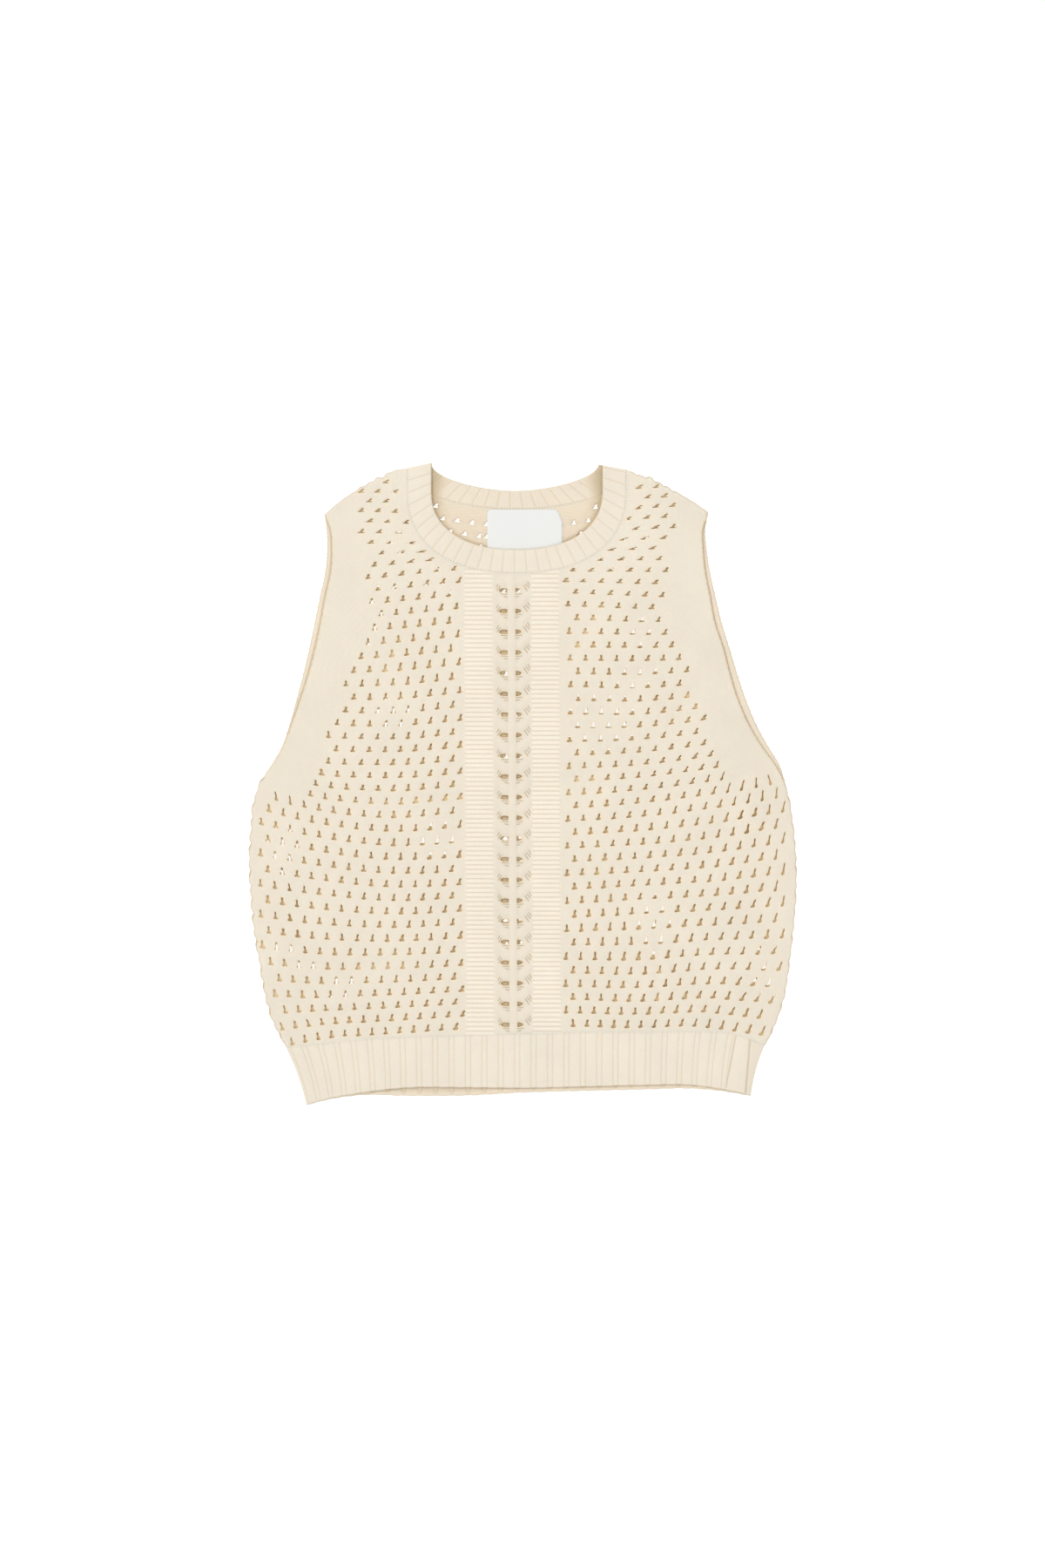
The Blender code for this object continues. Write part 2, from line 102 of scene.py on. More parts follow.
Hem = namedtuple("Hem", "share seam front back")
HEMS = (  # heights of the hem's seam and of its two bottom edges, by the share of the hem's half width
    Hem(-1.00, -235.0, -287.0, -287.3),
    Hem(-0.85, -232.2, -280.5, -281.5),
    Hem(-0.70, -228.6, -275.9, -278.2),
    Hem(-0.50, -226.2, -271.4, -278.8),
    Hem(-0.25, -224.8, -271.2, -278.6),
    Hem(0.00, -223.2, -271.6, -275.9),
    Hem(0.25, -221.8, -270.4, -274.4),
    Hem(0.50, -221.4, -269.1, -273.2),
    Hem(0.70, -221.2, -268.9, -272.3),
    Hem(0.85, -222.3, -272.7, -274.6),
    Hem(1.00, -233.5, -278.4, -279.0),
)
HEM_MIDDLE = 2.2
HEM_HALF = 214.2
HEM_DRAWN_IN = {"left": 18.4, "right": 12.4}  # how much narrower the bottom edge is than the seam
HEM_BOW = 1.8
HEM_SLANT = 4

# ---- the neck: each edge is a rounded U, half_width wide and deep below the height top
NeckEdge = namedtuple("NeckEdge", "middle half_width top deep squareness")
NECK_INSIDE = NeckEdge(-5.3, 76.5, 262.0, 52.3, 2.27)
NECK_SEAM = NeckEdge(-5.5, 98.2, 262.0, 73.6, 2.32)
BACK_NECK_TOP = NeckEdge(-6.9, 74.5, 285.4, 23.0, 1.72)
BACK_NECK_SEAM = NeckEdge(-5.9, 97.4, 281.6, 35.8, 2.0)

# ---- ribs
STITCH_WIDE = 1.63
STITCH_TALL = 1.35
HEM_RIB_PITCH = 14.7  # a narrow rib and a wide one
HEM_RIB_START = -7.2
NARROW_HALF = 2.3  # half the width of the narrow rib
WIDE_MIDDLE = 7.35  # from the narrow rib's middle to the wide one's
WIDE_HALF = 5.05
HEM_COLUMNS = 29 * 28  # the mesh's columns along the hem, 28 for each pair of ribs
HEM_ROWS = (0, 0.008, 0.02, 0.04, 0.065, 0.095, 0.13, *np.linspace(0.2, 0.93, 11), 0.96, 0.98, 0.992, 1)
NECK_RIB_PITCH = 10.2
NECK_RIB_COLUMNS = 24
NECK_ROWS = (0, 0.018, 0.04, 0.07, 0.12, 0.25, 0.4, 0.55, 0.7, 0.84, 0.93, 0.975, 1.0)
NECK_STITCH_WIDE = 1.7
NECK_STITCH_TALL = 1.4
LINK_PITCH = 2.3  # from one linking stitch of a seam to the next
LINK_IN = 0.8  # and how far they lie beside it
SEAM_EASE = 4.0  # how far from a seam ribs and relief reach their full height
ROLL_INNER = ((190.6, -224.9), (181.6, -271.5))  # the two grooves where the hem's right end rolls under
ROLL_OUTER = ((203.6, -225.3), (199.4, -276.0))

# ---- the centre of the front: a laddered column between two purl columns
Corner = namedtuple("Corner", "across up")
LADDER_TOP = -10.0
LADDER_LOW = -8.2
FIRST_GAP = 173.2
GAP_PITCH = 18.49
GAP_PAIRS = 22
GAP_OUTLINES = {  # a gap's corners outwards from the ladder's middle and up, left and right of it
    -1: (
        Corner(4.0, -1.9),
        Corner(6.5, -2.1),
        Corner(9.0, -1.9),
        Corner(10.9, -1.0),
        Corner(11.4, 0.1),
        Corner(10.4, 1.3),
        Corner(8.6, 1.9),
        Corner(6.4, 1.8),
        Corner(4.0, 1.3),
    ),
    1: (
        Corner(3.5, -1.8),
        Corner(5.3, -2.0),
        Corner(7.2, -1.4),
        Corner(8.5, -0.2),
        Corner(7.8, 1.0),
        Corner(6.2, 1.7),
        Corner(4.7, 2.1),
        Corner(3.5, 1.9),
    ),
}
Stroke = namedtuple("Stroke", "out up out_end up_end")
STROKES = {  # the small grooves between the strands beside each gap, and under it by the rib
    -1: (
        Stroke(12.2, 5.3, 13.5, 2.7),
        Stroke(10.6, 3.7, 12.9, -0.2),
        Stroke(9.2, -3.2, 4.0, -3.6),
        Stroke(6.9, -5.4, 4.0, -6.0),
    ),
    1: (
        Stroke(14.3, 7.6, 16.0, 4.6),
        Stroke(12.4, 5.7, 15.3, 2.4),
        Stroke(10.8, 4.3, 13.8, -0.2),
        Stroke(8.6, -3.2, 3.8, -3.5),
        Stroke(6.2, -5.3, 3.8, -6.0),
    ),
}
STROKE_WIDE = 0.48
STROKE_DEEP = 0.4
STROKE_CLEAR = 0.85  # where the cloth beside a groove is level again
MID_RIB = 0.9
MID_RIB_HALF = 3.4
LOBE = 0.5
LOBE_CRESTS = ((15.6, -1.6), (13.2, -4.8), (9.8, -8.2), (6.6, -11.4))
LOBE_SPREAD = 2.7
PURL_INNER = 17.2
PURL_OUTER = 42.4
PURL_SHOULDER = 3.0
PURL_RISE = 0.35
PURL_RIDGE = 4.13  # from one purl ridge to the next
PURL_RIDGE_RISE = 0.18
PURL_STITCH = 2.3

# ---- folds of the front: middle, half length, spread across, turn from upright, rise or fall
Fold = namedtuple("Fold", "across up half_length spread turn rise")
FOLDS = (
    Fold(120.6, -166, 40, 3.4, -1, -0.95),
    Fold(128, -166, 42, 5.0, -1, 0.5),
    Fold(111, -160, 46, 6.0, 3, 0.45),
    Fold(204, -16, 36, 11.0, 12, 1.3),
    Fold(148, 72, 26, 8.0, 28, -1.1),
    Fold(47, 2, 20, 10.0, 70, -0.9),
    Fold(-94, -17, 52, 8.0, 88, -1.0),
    Fold(-122, 108, 24, 12.0, 10, -0.9),
    Fold(-128, -164, 34, 10.0, 80, -0.9),
    Fold(-206, -118, 44, 9.0, -8, 0.9),
    Fold(60, 140, 40, 10.0, 35, -0.8),
)
GATHERS = (  # the small creases that run out from both underarms and along the sides
    Fold(206, 14, 22, 3.2, 64, -0.7),
    Fold(214, -2, 24, 3.0, 48, -0.6),
    Fold(192, 26, 20, 3.4, 78, -0.6),
    Fold(222, -30, 20, 3.4, 30, -0.6),
    Fold(176, 10, 20, 4.0, 86, 0.5),
    Fold(-206, 10, 22, 3.2, -62, -0.7),
    Fold(-214, -8, 20, 3.0, -44, -0.6),
    Fold(-196, 24, 20, 3.4, -78, -0.5),
    Fold(-182, 2, 20, 4.0, -84, 0.5),
    Fold(-170, 96, 30, 6.0, -16, 0.5),
    Fold(158, 118, 30, 6.0, 14, 0.5),
    Fold(-60, -60, 40, 7.0, 60, 0.4),
    Fold(70, -110, 40, 7.0, -50, 0.4),
)

# ---- the net's chart: where columns -17.5 to 17.5 lie in some rows
COLUMNS = np.array((-17.5, -13.5, -8.5, -3.5, 3.5, 8.5, 13.5, 17.5))
NetRow = namedtuple("NetRow", "row across up")
NET = (
    NetRow(
        0,
        (-224.2, -177.4, -116.5, -53.4, 38.7, 99.5, 160.4, 208.7),
        (-233.9, -224.6, -220.3, -216.4, -213.6, -214.8, -213.6, -219.9),
    ),
    NetRow(
        4,
        (-236.7, -186.7, -120.0, -54.9, 38.3, 103.0, 168.2, 223.2),
        (-171.5, -175.4, -174.3, -171.5, -166.1, -166.8, -162.6, -162.9),
    ),
    NetRow(
        8,
        (-240.9, -188.7, -121.6, -56.1, 39.5, 104.2, 173.2, 226.3),
        (-115.0, -121.6, -125.5, -122.8, -116.5, -113.0, -109.5, -105.2),
    ),
    NetRow(
        12,
        (-241.3, -189.1, -122.4, -56.9, 39.5, 106.9, 174.4, 226.7),
        (-60.0, -69.0, -76.8, -75.2, -67.0, -63.5, -57.6, -49.1),
    ),
    NetRow(
        16,
        (-239.6, -189.1, -122.0, -56.1, 40.6, 109.3, 177.5, 226.9),
        (-5.4, -19.4, -27.2, -22.9, -19.0, -14.0, -4.6, 4.8),
    ),
    NetRow(
        20,
        (-240.6, -194.5, -123.2, -56.1, 41.4, 111.2, 182.2, 227.4),
        (37.5, 23.5, 19.6, 23.5, 28.2, 31.3, 40.6, 50.8),
    ),
    NetRow(
        24,
        (-244.5, -193.8, -122.8, -56.1, 42.6, 112.0, 181.4, 231.3),
        (78.1, 69.5, 66.0, 71.8, 77.3, 76.9, 84.3, 93.7),
    ),
    NetRow(
        28,
        (-247.6, -193.8, -123.9, -57.6, 41.8, 112.0, 182.2, 233.7),
        (110.8, 111.6, 116.3, 122.1, 124.9, 124.5, 126.4, 128.8),
    ),
    NetRow(
        32,
        (-253.8, -199.2, -128.2, -58.8, 39.5, 117.1, 190.8, 243.0),
        (158.4, 160.0, 164.3, 170.9, 172.5, 169.7, 167.8, 167.0),
    ),
    NetRow(
        35,
        (-264.0, -204.7, -132.9, -51.8, 35.6, 122.1, 194.7, 249.3),
        (188.8, 191.2, 196.6, 202.9, 200.5, 202.1, 202.9, 202.9),
    ),
    NetRow(
        37,
        (-267.1, -207.8, -136.0, -46.3, 34.8, 126.0, 196.2, 253.2),
        (213.8, 214.6, 216.5, 214.6, 216.1, 220.8, 222.4, 223.2),
    ),
    NetRow(
        40,
        (-265.5, -207.8, -137.2, -59.6, 47.3, 126.8, 196.2, 253.2),
        (243.4, 244.2, 245.0, 241.9, 242.7, 249.3, 251.2, 252.0),
    ),
    NetRow(
        43,
        (-264.0, -206.2, -137.6, -59.6, 48.8, 126.8, 196.2, 253.2),
        (270.7, 270.7, 270.7, 270.7, 273.9, 275.4, 276.2, 276.2),
    ),
)
NET_FIRST = 3.5  # the column beside the purl
NET_BORDER = 5.2  # the plain knit along the panels' folded sides
LAST_ROW = 44
NetEnd = namedtuple("NetEnd", "row reach")
NET_ENDS = (  # how many columns past the first the holes go: the rest is plain towards the armhole
    NetEnd(16, 16.0),
    NetEnd(17, 10.1),
    NetEnd(18, 9.55),
    NetEnd(20, 8.8),
    NetEnd(22, 8.6),
    NetEnd(24, 7.8),
    NetEnd(26, 7.55),
    NetEnd(28, 6.9),
    NetEnd(32, 5.6),
    NetEnd(35, 5.6),
    NetEnd(36, 4.6),
    NetEnd(37, 5.6),
    NetEnd(42, 5.6),
    NetEnd(43, 4.2),
)
WALES = 8  # stitches between two columns
COURSES = 9  # and between two rows
NET_ACROSS = 13.0  # the usual distance between two columns
NET_UP = 11.65  # and between two rows
BELL = (  # a hole of the net, from the left end of its foot round to its left waist
    Corner(-2.5, -2.2),
    Corner(-1.9, -2.9),
    Corner(-0.2, -3.1),
    Corner(1.5, -2.9),
    Corner(2.3, -2.3),
    Corner(1.9, -1.5),
    Corner(1.2, -0.6),
    Corner(1.1, 0.7),
    Corner(1.5, 2.0),
    Corner(1.2, 2.9),
    Corner(0.2, 3.2),
    Corner(-0.7, 2.3),
    Corner(-0.75, 0.7),
    Corner(-1.0, -0.7),
    Corner(-1.9, -1.4),
)
BELL_WAIST = slice(5, 15)
BELL_TOP = slice(8, 12)
BELL_LOW = -3.1
BELL_TALL = 6.3
Lean = namedtuple("Lean", "across top")
LEANS = (  # how far the holes' tops lean to the right of their feet
    Lean(-245, -1.2),
    Lean(-190, -0.9),
    Lean(-150, -0.3),
    Lean(-110, 0.1),
    Lean(-60, 0.9),
    Lean(35, -0.7),
    Lean(80, -0.1),
    Lean(120, 0.5),
    Lean(160, 1.0),
    Lean(205, 1.6),
    Lean(245, 1.6),
)
BOOT = 2.4  # how far the top of a wide, flat hole moves to the right
BACK_NET_UP = 10.92  # rows of the back, near its neck
BACK_NET_ROW = 39
BACK_NET_HEIGHT = 238.6
BACK_NET_DROOP = 6.5
BACK_NET_DROOP_REACH = 58.0
BACK_PLAIN_ROW = 40  # no holes from this row up, between these columns
BACK_PLAIN_LEFT = -5.4
BACK_PLAIN_RIGHT = 4.9
NECK_NET_LOW = 212.0  # where the back's holes keep their chart, because the neck shows them
NECK_NET_HALF = 95.0
NECK_HOLE_TALL = 0.66

# ---- where the holes of both panels meet, so that the surface underneath shows through
Patch = namedtuple("Patch", "across up half_across half_up")
PATCHES = (
    Patch(-134, 156, 16, 42),
    Patch(-117, 62, 26, 22),
    Patch(-76, -50, 30, 20),
    Patch(-214, -60, 20, 32),
    Patch(-214, -148, 22, 13),
    Patch(-192, -162, 18, 9),
    Patch(-160, -179, 24, 14),
    Patch(70, 56, 42, 38),
    Patch(105, 98, 24, 14),
    Patch(118, -126, 20, 38),
    Patch(216, -168, 16, 34),
    Patch(-60, 174, 9, 22),
    Patch(105, 140, 16, 26),
    Patch(120, 217, 24, 9),
)
MET = 0.88  # how far the holes of both panels meet there: 1 is in full
HOLE_LEAST = (0.84, 0.9, -0.5, 0.8)  # the least a hole's width, height, lean and waist may be drawn
HOLE_MOST = (1.08, 1.08, 0.5, 1.15)
BACK_HOLE_WIDE = 1.12  # the back's holes are a little larger
BACK_HOLE_TALL = 1.08
HOLES_APART = 1.2
HOLE_TO_EDGE = 0.8
HOLE_REACH = 16.0  # holes further off than this can't touch
HOLES_BEFORE = 150  # and only so many earlier ones can be so near
NARROWED = (  # where the knit is drawn together, so that its holes close up to slits
    Patch(203, 2, 40, 18),
    Patch(234, -60, 15, 84),
    Patch(-211, -12, 14, 12),
)
NARROWING = 0.4

# ---- the label
LABEL_LEFT = -31.9
LABEL_RIGHT = 35.3
LABEL_TOP = 245.6
LABEL_BOTTOM = 206.2
LABEL_CORNER = 2.4
LABEL_THICK = 0.6
LABEL_COLUMNS = 68
LABEL_ROWS = 42
LABEL_LEAN = 4.6  # how far its top right corner leans in
LABEL_LEAN_TALL = 11.0

# ---- mesh density
FINE = 241
EDGE_STEP = 2.0
SAMPLE_STEP = 0.5
FREE_ROUND = 1.5  # how far from a free edge the cloth rounds off
SIDE_ROUND = 2.4  # and from a folded side
SEAM_ROUND = 1.3  # and from a linked seam
RINGS = (0.4, 1.05, 1.95)  # distances from a hole of the lines of points round it
RING_STEPS = (1.5, 2.0, 3.0)
BACK_RINGS = (0.5, 1.3)
BACK_RING_STEPS = (2.0, 2.6)
FILL_STEP = 3.7
BACK_FILL_STEP = 6.0
LADDER_STEP = 1.9
UNDER_STEP = 7.0
ROW_STEP = 0.87
SHARP = 55.0  # degrees between two faces from which their edge isn't smoothed


# ---------------------------------------------------------------- curves
def column(table, name):
    return np.array([getattr(row, name) for row in table], float)


def through(at, places, values):
    """A smooth curve through (places, values), read at the places given and straight past its ends.
    values is one line of numbers, or one line for each place that is read."""
    at = np.asarray(at, float)
    slopes = np.gradient(values, places, axis=-1)
    kept = np.clip(at, places[0], places[-1])
    i = np.clip(np.searchsorted(places, kept) - 1, 0, len(places) - 2)
    here, after = (i, i + 1) if values.ndim == 1 else ((np.arange(len(at)), i), (np.arange(len(at)), i + 1))
    span = places[i + 1] - places[i]
    t = (kept - places[i]) / span
    start = (1 + 2 * t) * (1 - t) ** 2 * values[here] + t * (1 - t) ** 2 * span * slopes[here]
    end = t * t * (3 - 2 * t) * values[after] + t * t * (t - 1) * span * slopes[after]
    past = np.where(at < places[0], slopes[..., 0], slopes[..., -1]) * (at - kept)
    return start + end + past


def side_at(height, side, front=False):
    """How far across the garment's edge lies at a height, with its sign."""
    heights = column(SIDES, "height")[::-1]
    reach = through(height, heights, column(SIDES, side)[::-1])
    if front:
        reach = reach - np.maximum(through(height, heights, column(SIDES, side + "_inset")[::-1]), 0)
    return -reach if side == "left" else reach


def shoulder_at(across, side):
    """Height of the shoulder line at a place across."""
    share = (np.asarray(across, float) - NECK_POINT[side]) / (SHOULDER_TIP[side] - NECK_POINT[side])
    return through(np.clip(share, 0, 1), column(SHOULDERS, "share"), column(SHOULDERS, side))


def hem_at(share, line):
    """A point of one of the hem's lines; share runs from -1 at the left end to 1."""
    share = np.asarray(share, float)
    across = HEM_MIDDLE + HEM_HALF * share
    if line != "seam":
        across = across - drawn_in(share)
    return np.stack([across, through(share, column(HEMS, "share"), column(HEMS, line))], axis=-1)


def drawn_in(share):
    """The hem's outer ribs slant inwards, and the middle ones stay upright."""
    drawn = np.where(share < 0, HEM_DRAWN_IN["left"], HEM_DRAWN_IN["right"])
    return drawn * np.sign(share) * np.abs(share) ** HEM_SLANT


def hem_point(share, down, line):
    """A point of a hem: down is 0 at the seam and 1 at the bottom edge."""
    top, bottom = hem_at(share, "seam"), hem_at(share, line)
    place = top + (bottom - top) * np.asarray(down)[..., None]
    bow = HEM_BOW * 4 * down * (1 - down)
    place[..., 0] -= bow * np.sign(share) * np.abs(share) ** HEM_SLANT
    return place


def neck_edge(edge):
    """Points of a neck edge from the left shoulder line, round the U, to the right shoulder line."""
    turns = np.linspace(pi, 2 * pi, FINE)
    power = 2 / edge.squareness
    across = edge.middle + edge.half_width * np.sign(np.cos(turns)) * np.abs(np.cos(turns)) ** power
    up = edge.top - edge.deep * np.abs(np.sin(turns)) ** power
    left, right = across[0], across[-1]
    points = np.stack([across, up], axis=1)
    start, end = (left, shoulder_at(left, "left")), (right, shoulder_at(right, "right"))
    return np.concatenate([[start], points, [end]])


def along(points):
    """Distance travelled at each point of a line."""
    steps = np.linalg.norm(np.diff(points, axis=0), axis=1)
    return np.concatenate([[0], np.cumsum(steps)])


def at_share(points, share):
    """Points of a line at shares of its length."""
    run = along(points)
    return np.stack([np.interp(np.asarray(share) * run[-1], run, points[:, k]) for k in (0, 1)], axis=-1)


def spaced(points, step):
    """The line again, with points about step apart."""
    count = max(2, round(along(points)[-1] / step) + 1)
    return at_share(points, np.linspace(0, 1, count))


def moved_out(points, distance):
    """A line moved to its right-hand side. A closed line has its first point again at its end."""
    run = np.gradient(points, axis=0)
    if np.allclose(points[0], points[-1]):
        run[[0, -1]] = points[1] - points[-2]
    run /= np.maximum(np.linalg.norm(run, axis=1)[:, None], 1e-9)
    return points + np.asarray(distance)[..., None] * np.stack([run[:, 1], -run[:, 0]], axis=1)


def wavy(points, rise, pitch, phase=0.0):
    """A line with the soft bumps of its stitches, which die out towards its ends."""
    run = along(points)
    ends = np.clip(np.minimum(run, run[-1] - run) / pitch, 0, 1)
    bumps = np.sin(2 * pi * run / pitch + phase) + 0.5 * np.sin(2 * pi * run / (1.7 * pitch) + 2 * phase)
    return moved_out(points, rise * ends * bumps)


def closed(points):
    return np.concatenate([points, points[:1]])


# ---------------------------------------------------------------- nearness
def tree_of(points):
    tree = KDTree(len(points))
    for i, (x, y) in enumerate(points.tolist()):
        tree.insert((x, y, 0), i)
    tree.balance()
    return tree


def nearest(points, tree):
    """Distance from each point to the nearest one of a tree."""
    return np.array([tree.find((x, y, 0))[2] for x, y in points.tolist()])


def inside(points, outline):
    """Whether each point lies inside a closed outline."""
    x, y = points[:, 0, None], points[:, 1, None]
    x0, y0 = outline[:, 0], outline[:, 1]
    x1, y1 = np.roll(x0, -1), np.roll(y0, -1)
    rise = np.where(y1 == y0, 1e-9, y1 - y0)
    crossing = ((y0 > y) != (y1 > y)) & (x < (x1 - x0) * (y - y0) / rise + x0)
    return crossing.sum(axis=1) % 2 == 1


def inside_of(points, outline):
    """The same for many points, in portions."""
    portions = np.array_split(points, max(1, len(points) // 4000))
    return np.concatenate([inside(portion, outline) for portion in portions])


def nearest_edge(points, *trees):
    return np.minimum.reduce([nearest(points, tree) for tree in trees])


def rounded(distance, radius):
    """How full the cloth is near an edge: 0 at the edge and 1 from the radius on."""
    return np.sqrt(1 - np.clip(1 - distance / radius, 0, 1) ** 2)


def eased(distance, reach):
    """The same with a soft slope, for a sewn edge."""
    return 1 - np.clip(1 - distance / reach, 0, 1) ** 2


def bell_curve(distance, spread):
    return np.exp(-((distance / spread) ** 2))


def within(points, patches):
    """1 in the middle of the patches, fading to 0 outside them."""
    total = np.zeros(len(points))
    for patch in patches:
        across = (points[:, 0] - patch.across) / patch.half_across
        up = (points[:, 1] - patch.up) / patch.half_up
        total += np.exp(-((across**2 + up**2) ** 2))
    return np.clip(total, 0, 1)


def from_line(points, start, end):
    """Distance from each point to a straight line between two places."""
    start, run = np.array(start), np.array(end) - np.array(start)
    share = np.clip((points - start) @ run / (run @ run), 0, 1)
    return np.linalg.norm(points - start - share[..., None] * run, axis=-1)


# ---------------------------------------------------------------- the net's chart
def net_point(columns, rows, back=False):
    """Where a place of the net's chart lies on the garment."""
    columns, rows = np.asarray(columns, float), np.asarray(rows, float)
    charted = column(NET, "row")
    place = []
    for name in ("across", "up"):
        values = np.array([getattr(row, name) for row in NET])
        by_row = np.stack([through(rows, charted, values[:, k]) for k in range(len(COLUMNS))], axis=-1)
        place.append(through(columns, COLUMNS, by_row))
    place = np.stack(place, axis=-1)
    if back:
        across = NET_ACROSS * columns
        droop = BACK_NET_DROOP * np.exp(-((across / BACK_NET_DROOP_REACH) ** 4))
        up = BACK_NET_HEIGHT - (BACK_NET_ROW - rows) * BACK_NET_UP - droop
        share = np.clip((rows - 32) / 3, 0, 1)[..., None]
        place = place * (1 - share) + np.stack([across, up], axis=-1) * share
    return place


def net_stitches(points):
    """The stitch that each point of a panel lies on, counted across and up."""
    columns, rows = np.meshgrid(np.arange(-21, 21.1, 0.5), np.arange(-3, 47.1, 0.5))
    columns, rows = columns.ravel(), rows.ravel()
    tree = tree_of(net_point(columns, rows))
    found = np.array([tree.find((x, y, 0))[1] for x, y in points.tolist()])
    at = np.stack([columns[found], rows[found]], axis=1)
    small = 0.05
    for _ in range(2):
        here = net_point(at[:, 0], at[:, 1])
        a = (net_point(at[:, 0] + small, at[:, 1]) - here) / small
        b = (net_point(at[:, 0], at[:, 1] + small) - here) / small
        miss = points - here
        area = a[:, 0] * b[:, 1] - a[:, 1] * b[:, 0]
        at[:, 0] += (miss[:, 0] * b[:, 1] - miss[:, 1] * b[:, 0]) / area
        at[:, 1] += (a[:, 0] * miss[:, 1] - a[:, 1] * miss[:, 0]) / area
    return at * (WALES, COURSES)


def net_places(back):
    """The column and row of each hole."""
    ends = (column(NET_ENDS, "row"), column(NET_ENDS, "reach"))
    places = []
    for row in range(LAST_ROW):
        offset = 0.5 if row % 2 else 0.0
        for at in np.arange(-20 + offset, 20.1, 1):
            past = abs(at) - NET_FIRST
            plain = row >= BACK_PLAIN_ROW and BACK_PLAIN_LEFT < at < BACK_PLAIN_RIGHT
            if past <= np.interp(row, *ends) and (not plain if back else past >= 0):
                places.append((at, row))
    places = np.array(places)
    if back:
        middles = net_point(places[:, 0], places[:, 1], back)
        shift = 1 - MET * within(middles, PATCHES)
        places[:, 1] += np.where(shows_in_neck(middles), 0, np.where(middles[:, 0] < -100, -shift, shift))
    return places


def shows_in_neck(places):
    return (places[:, 1] > NECK_NET_LOW) & (np.abs(places[:, 0] - NECK_INSIDE.middle) < NECK_NET_HALF)


def hole_leans(middles):
    """How far each hole's top leans: beside the right underarm they turn the other way."""
    x, y = middles.T
    turned = np.clip((x - 200) / 12, 0, 1) * np.clip((y + 16) / 20, 0, 1)
    return through(x, column(LEANS, "across"), column(LEANS, "top")) - 4.5 * turned


def is_clear(hole, holes, outline, edge):
    """Whether a hole keeps its distance from the earlier ones and from the panel's outline."""
    if not inside(hole, outline).all() or nearest(hole, edge).min() <= HOLE_TO_EDGE:
        return False
    near = [other for other in holes[-HOLES_BEFORE:] if np.abs(other[0] - hole[0]).max() < HOLE_REACH]
    return all(np.linalg.norm(other[:, None] - hole, axis=2).min() > HOLES_APART for other in near)


def net_holes(outline, back, draw):
    """The net's holes, each a closed outline, clear of the panel's outline and of its neck."""
    edge = tree_of(spaced(closed(outline), SAMPLE_STEP))
    places = net_places(back)
    middles = net_point(*places.T, back)
    height = np.minimum(middles[:, 1], ARMHOLE_END["left"])
    to_side = np.minimum(middles[:, 0] - side_at(height, "left"), side_at(height, "right") - middles[:, 0])
    kept = to_side > NET_BORDER
    places, middles = places[kept], middles[kept]
    columns, rows = places.T
    right = net_point(columns + 0.5, rows, back) - net_point(columns - 0.5, rows, back)
    above = net_point(columns, rows + 0.5, back) - net_point(columns, rows - 0.5, back)
    across, up = np.linalg.norm(right, axis=1), np.linalg.norm(above, axis=1)
    short = np.where(back & shows_in_neck(middles), NECK_HOLE_TALL, 1.0)
    stretch = (across / up) / (NET_ACROSS / NET_UP)
    stretch **= np.where((middles[:, 0] < -150) & (middles[:, 1] < 60), 0.4, 1)
    narrow = NARROWING * within(middles, NARROWED)
    leans = hole_leans(middles)
    holes = []
    for i, middle in enumerate(middles):
        wide, tall, lean, waist = draw.uniform(HOLE_LEAST, HOLE_MOST)
        if back:
            wide, tall = BACK_HOLE_WIDE * wide, BACK_HOLE_TALL * tall
        wide, tall = wide * (1 - narrow[i]), tall * (1 + 0.6 * narrow[i]) * short[i]
        bell = np.array(BELL)
        shear = (bell[:, 1] - BELL_LOW) / BELL_TALL - 0.5
        bell[BELL_WAIST, 0] *= waist
        bell *= (wide * stretch[i] ** 0.6, tall * stretch[i] ** -1.5)
        bell[:, 0] += leans[i] * shear
        bell[BELL_TOP, 0] += lean + BOOT * max(stretch[i] - 1, 0)
        hole = middle + bell[:, :1] * right[i] / across[i] + bell[:, 1:] * above[i] / up[i]
        if is_clear(hole, holes, outline, edge):
            holes.append(hole)
    return holes


# ---------------------------------------------------------------- outlines
def panel_edges(front):
    """The body panel's edges, anticlockwise from the left end of the hem's seam, as (kind, line)."""
    seam = hem_at(np.linspace(-1, 1, FINE), "seam")
    low = {"left": seam[0, 1], "right": seam[-1, 1]}
    runs = {}
    for side in ("left", "right"):
        phase = 0.6 if side == "left" else 2.1
        underarm = ARMHOLE_END[side]
        for part, start, end in (("side", low[side], underarm), ("free", underarm, TIP_HEIGHT)):
            heights = np.linspace(start, end, FINE)
            run = np.stack([side_at(heights, side, front), heights], axis=1)
            rise, pitch = (SIDE_WAVES[side], SIDE_WAVE_PITCH) if part == "side" else (0.3, 4.6)
            runs[side, part] = wavy(run, rise, pitch, phase + front)
    neck = neck_edge(NECK_SEAM if front else BACK_NECK_SEAM)
    for side, end in (("left", neck[0, 0]), ("right", neck[-1, 0])):
        across = np.linspace(end, SHOULDER_TIP[side], FINE)
        run = np.stack([across, shoulder_at(across, side)], axis=1)
        share = np.linspace(0, 1, FINE)
        bumps = 0.75 * np.exp(-(((share - 0.36) / 0.24) ** 4)) + 0.12
        runs[side, "shoulder"] = wavy(run, bumps, 9.0, 0.9)
    return (
        ("sewn", seam),
        ("side", runs["right", "side"]),
        ("free", runs["right", "free"]),
        ("side", runs["right", "shoulder"][::-1]),
        ("sewn", neck[::-1]),
        ("side", runs["left", "shoulder"]),
        ("free", runs["left", "free"][::-1]),
        ("side", runs["left", "side"][::-1]),
    )


def outline_of(edges):
    return np.concatenate([spaced(line, EDGE_STEP)[:-1] for _, line in edges])


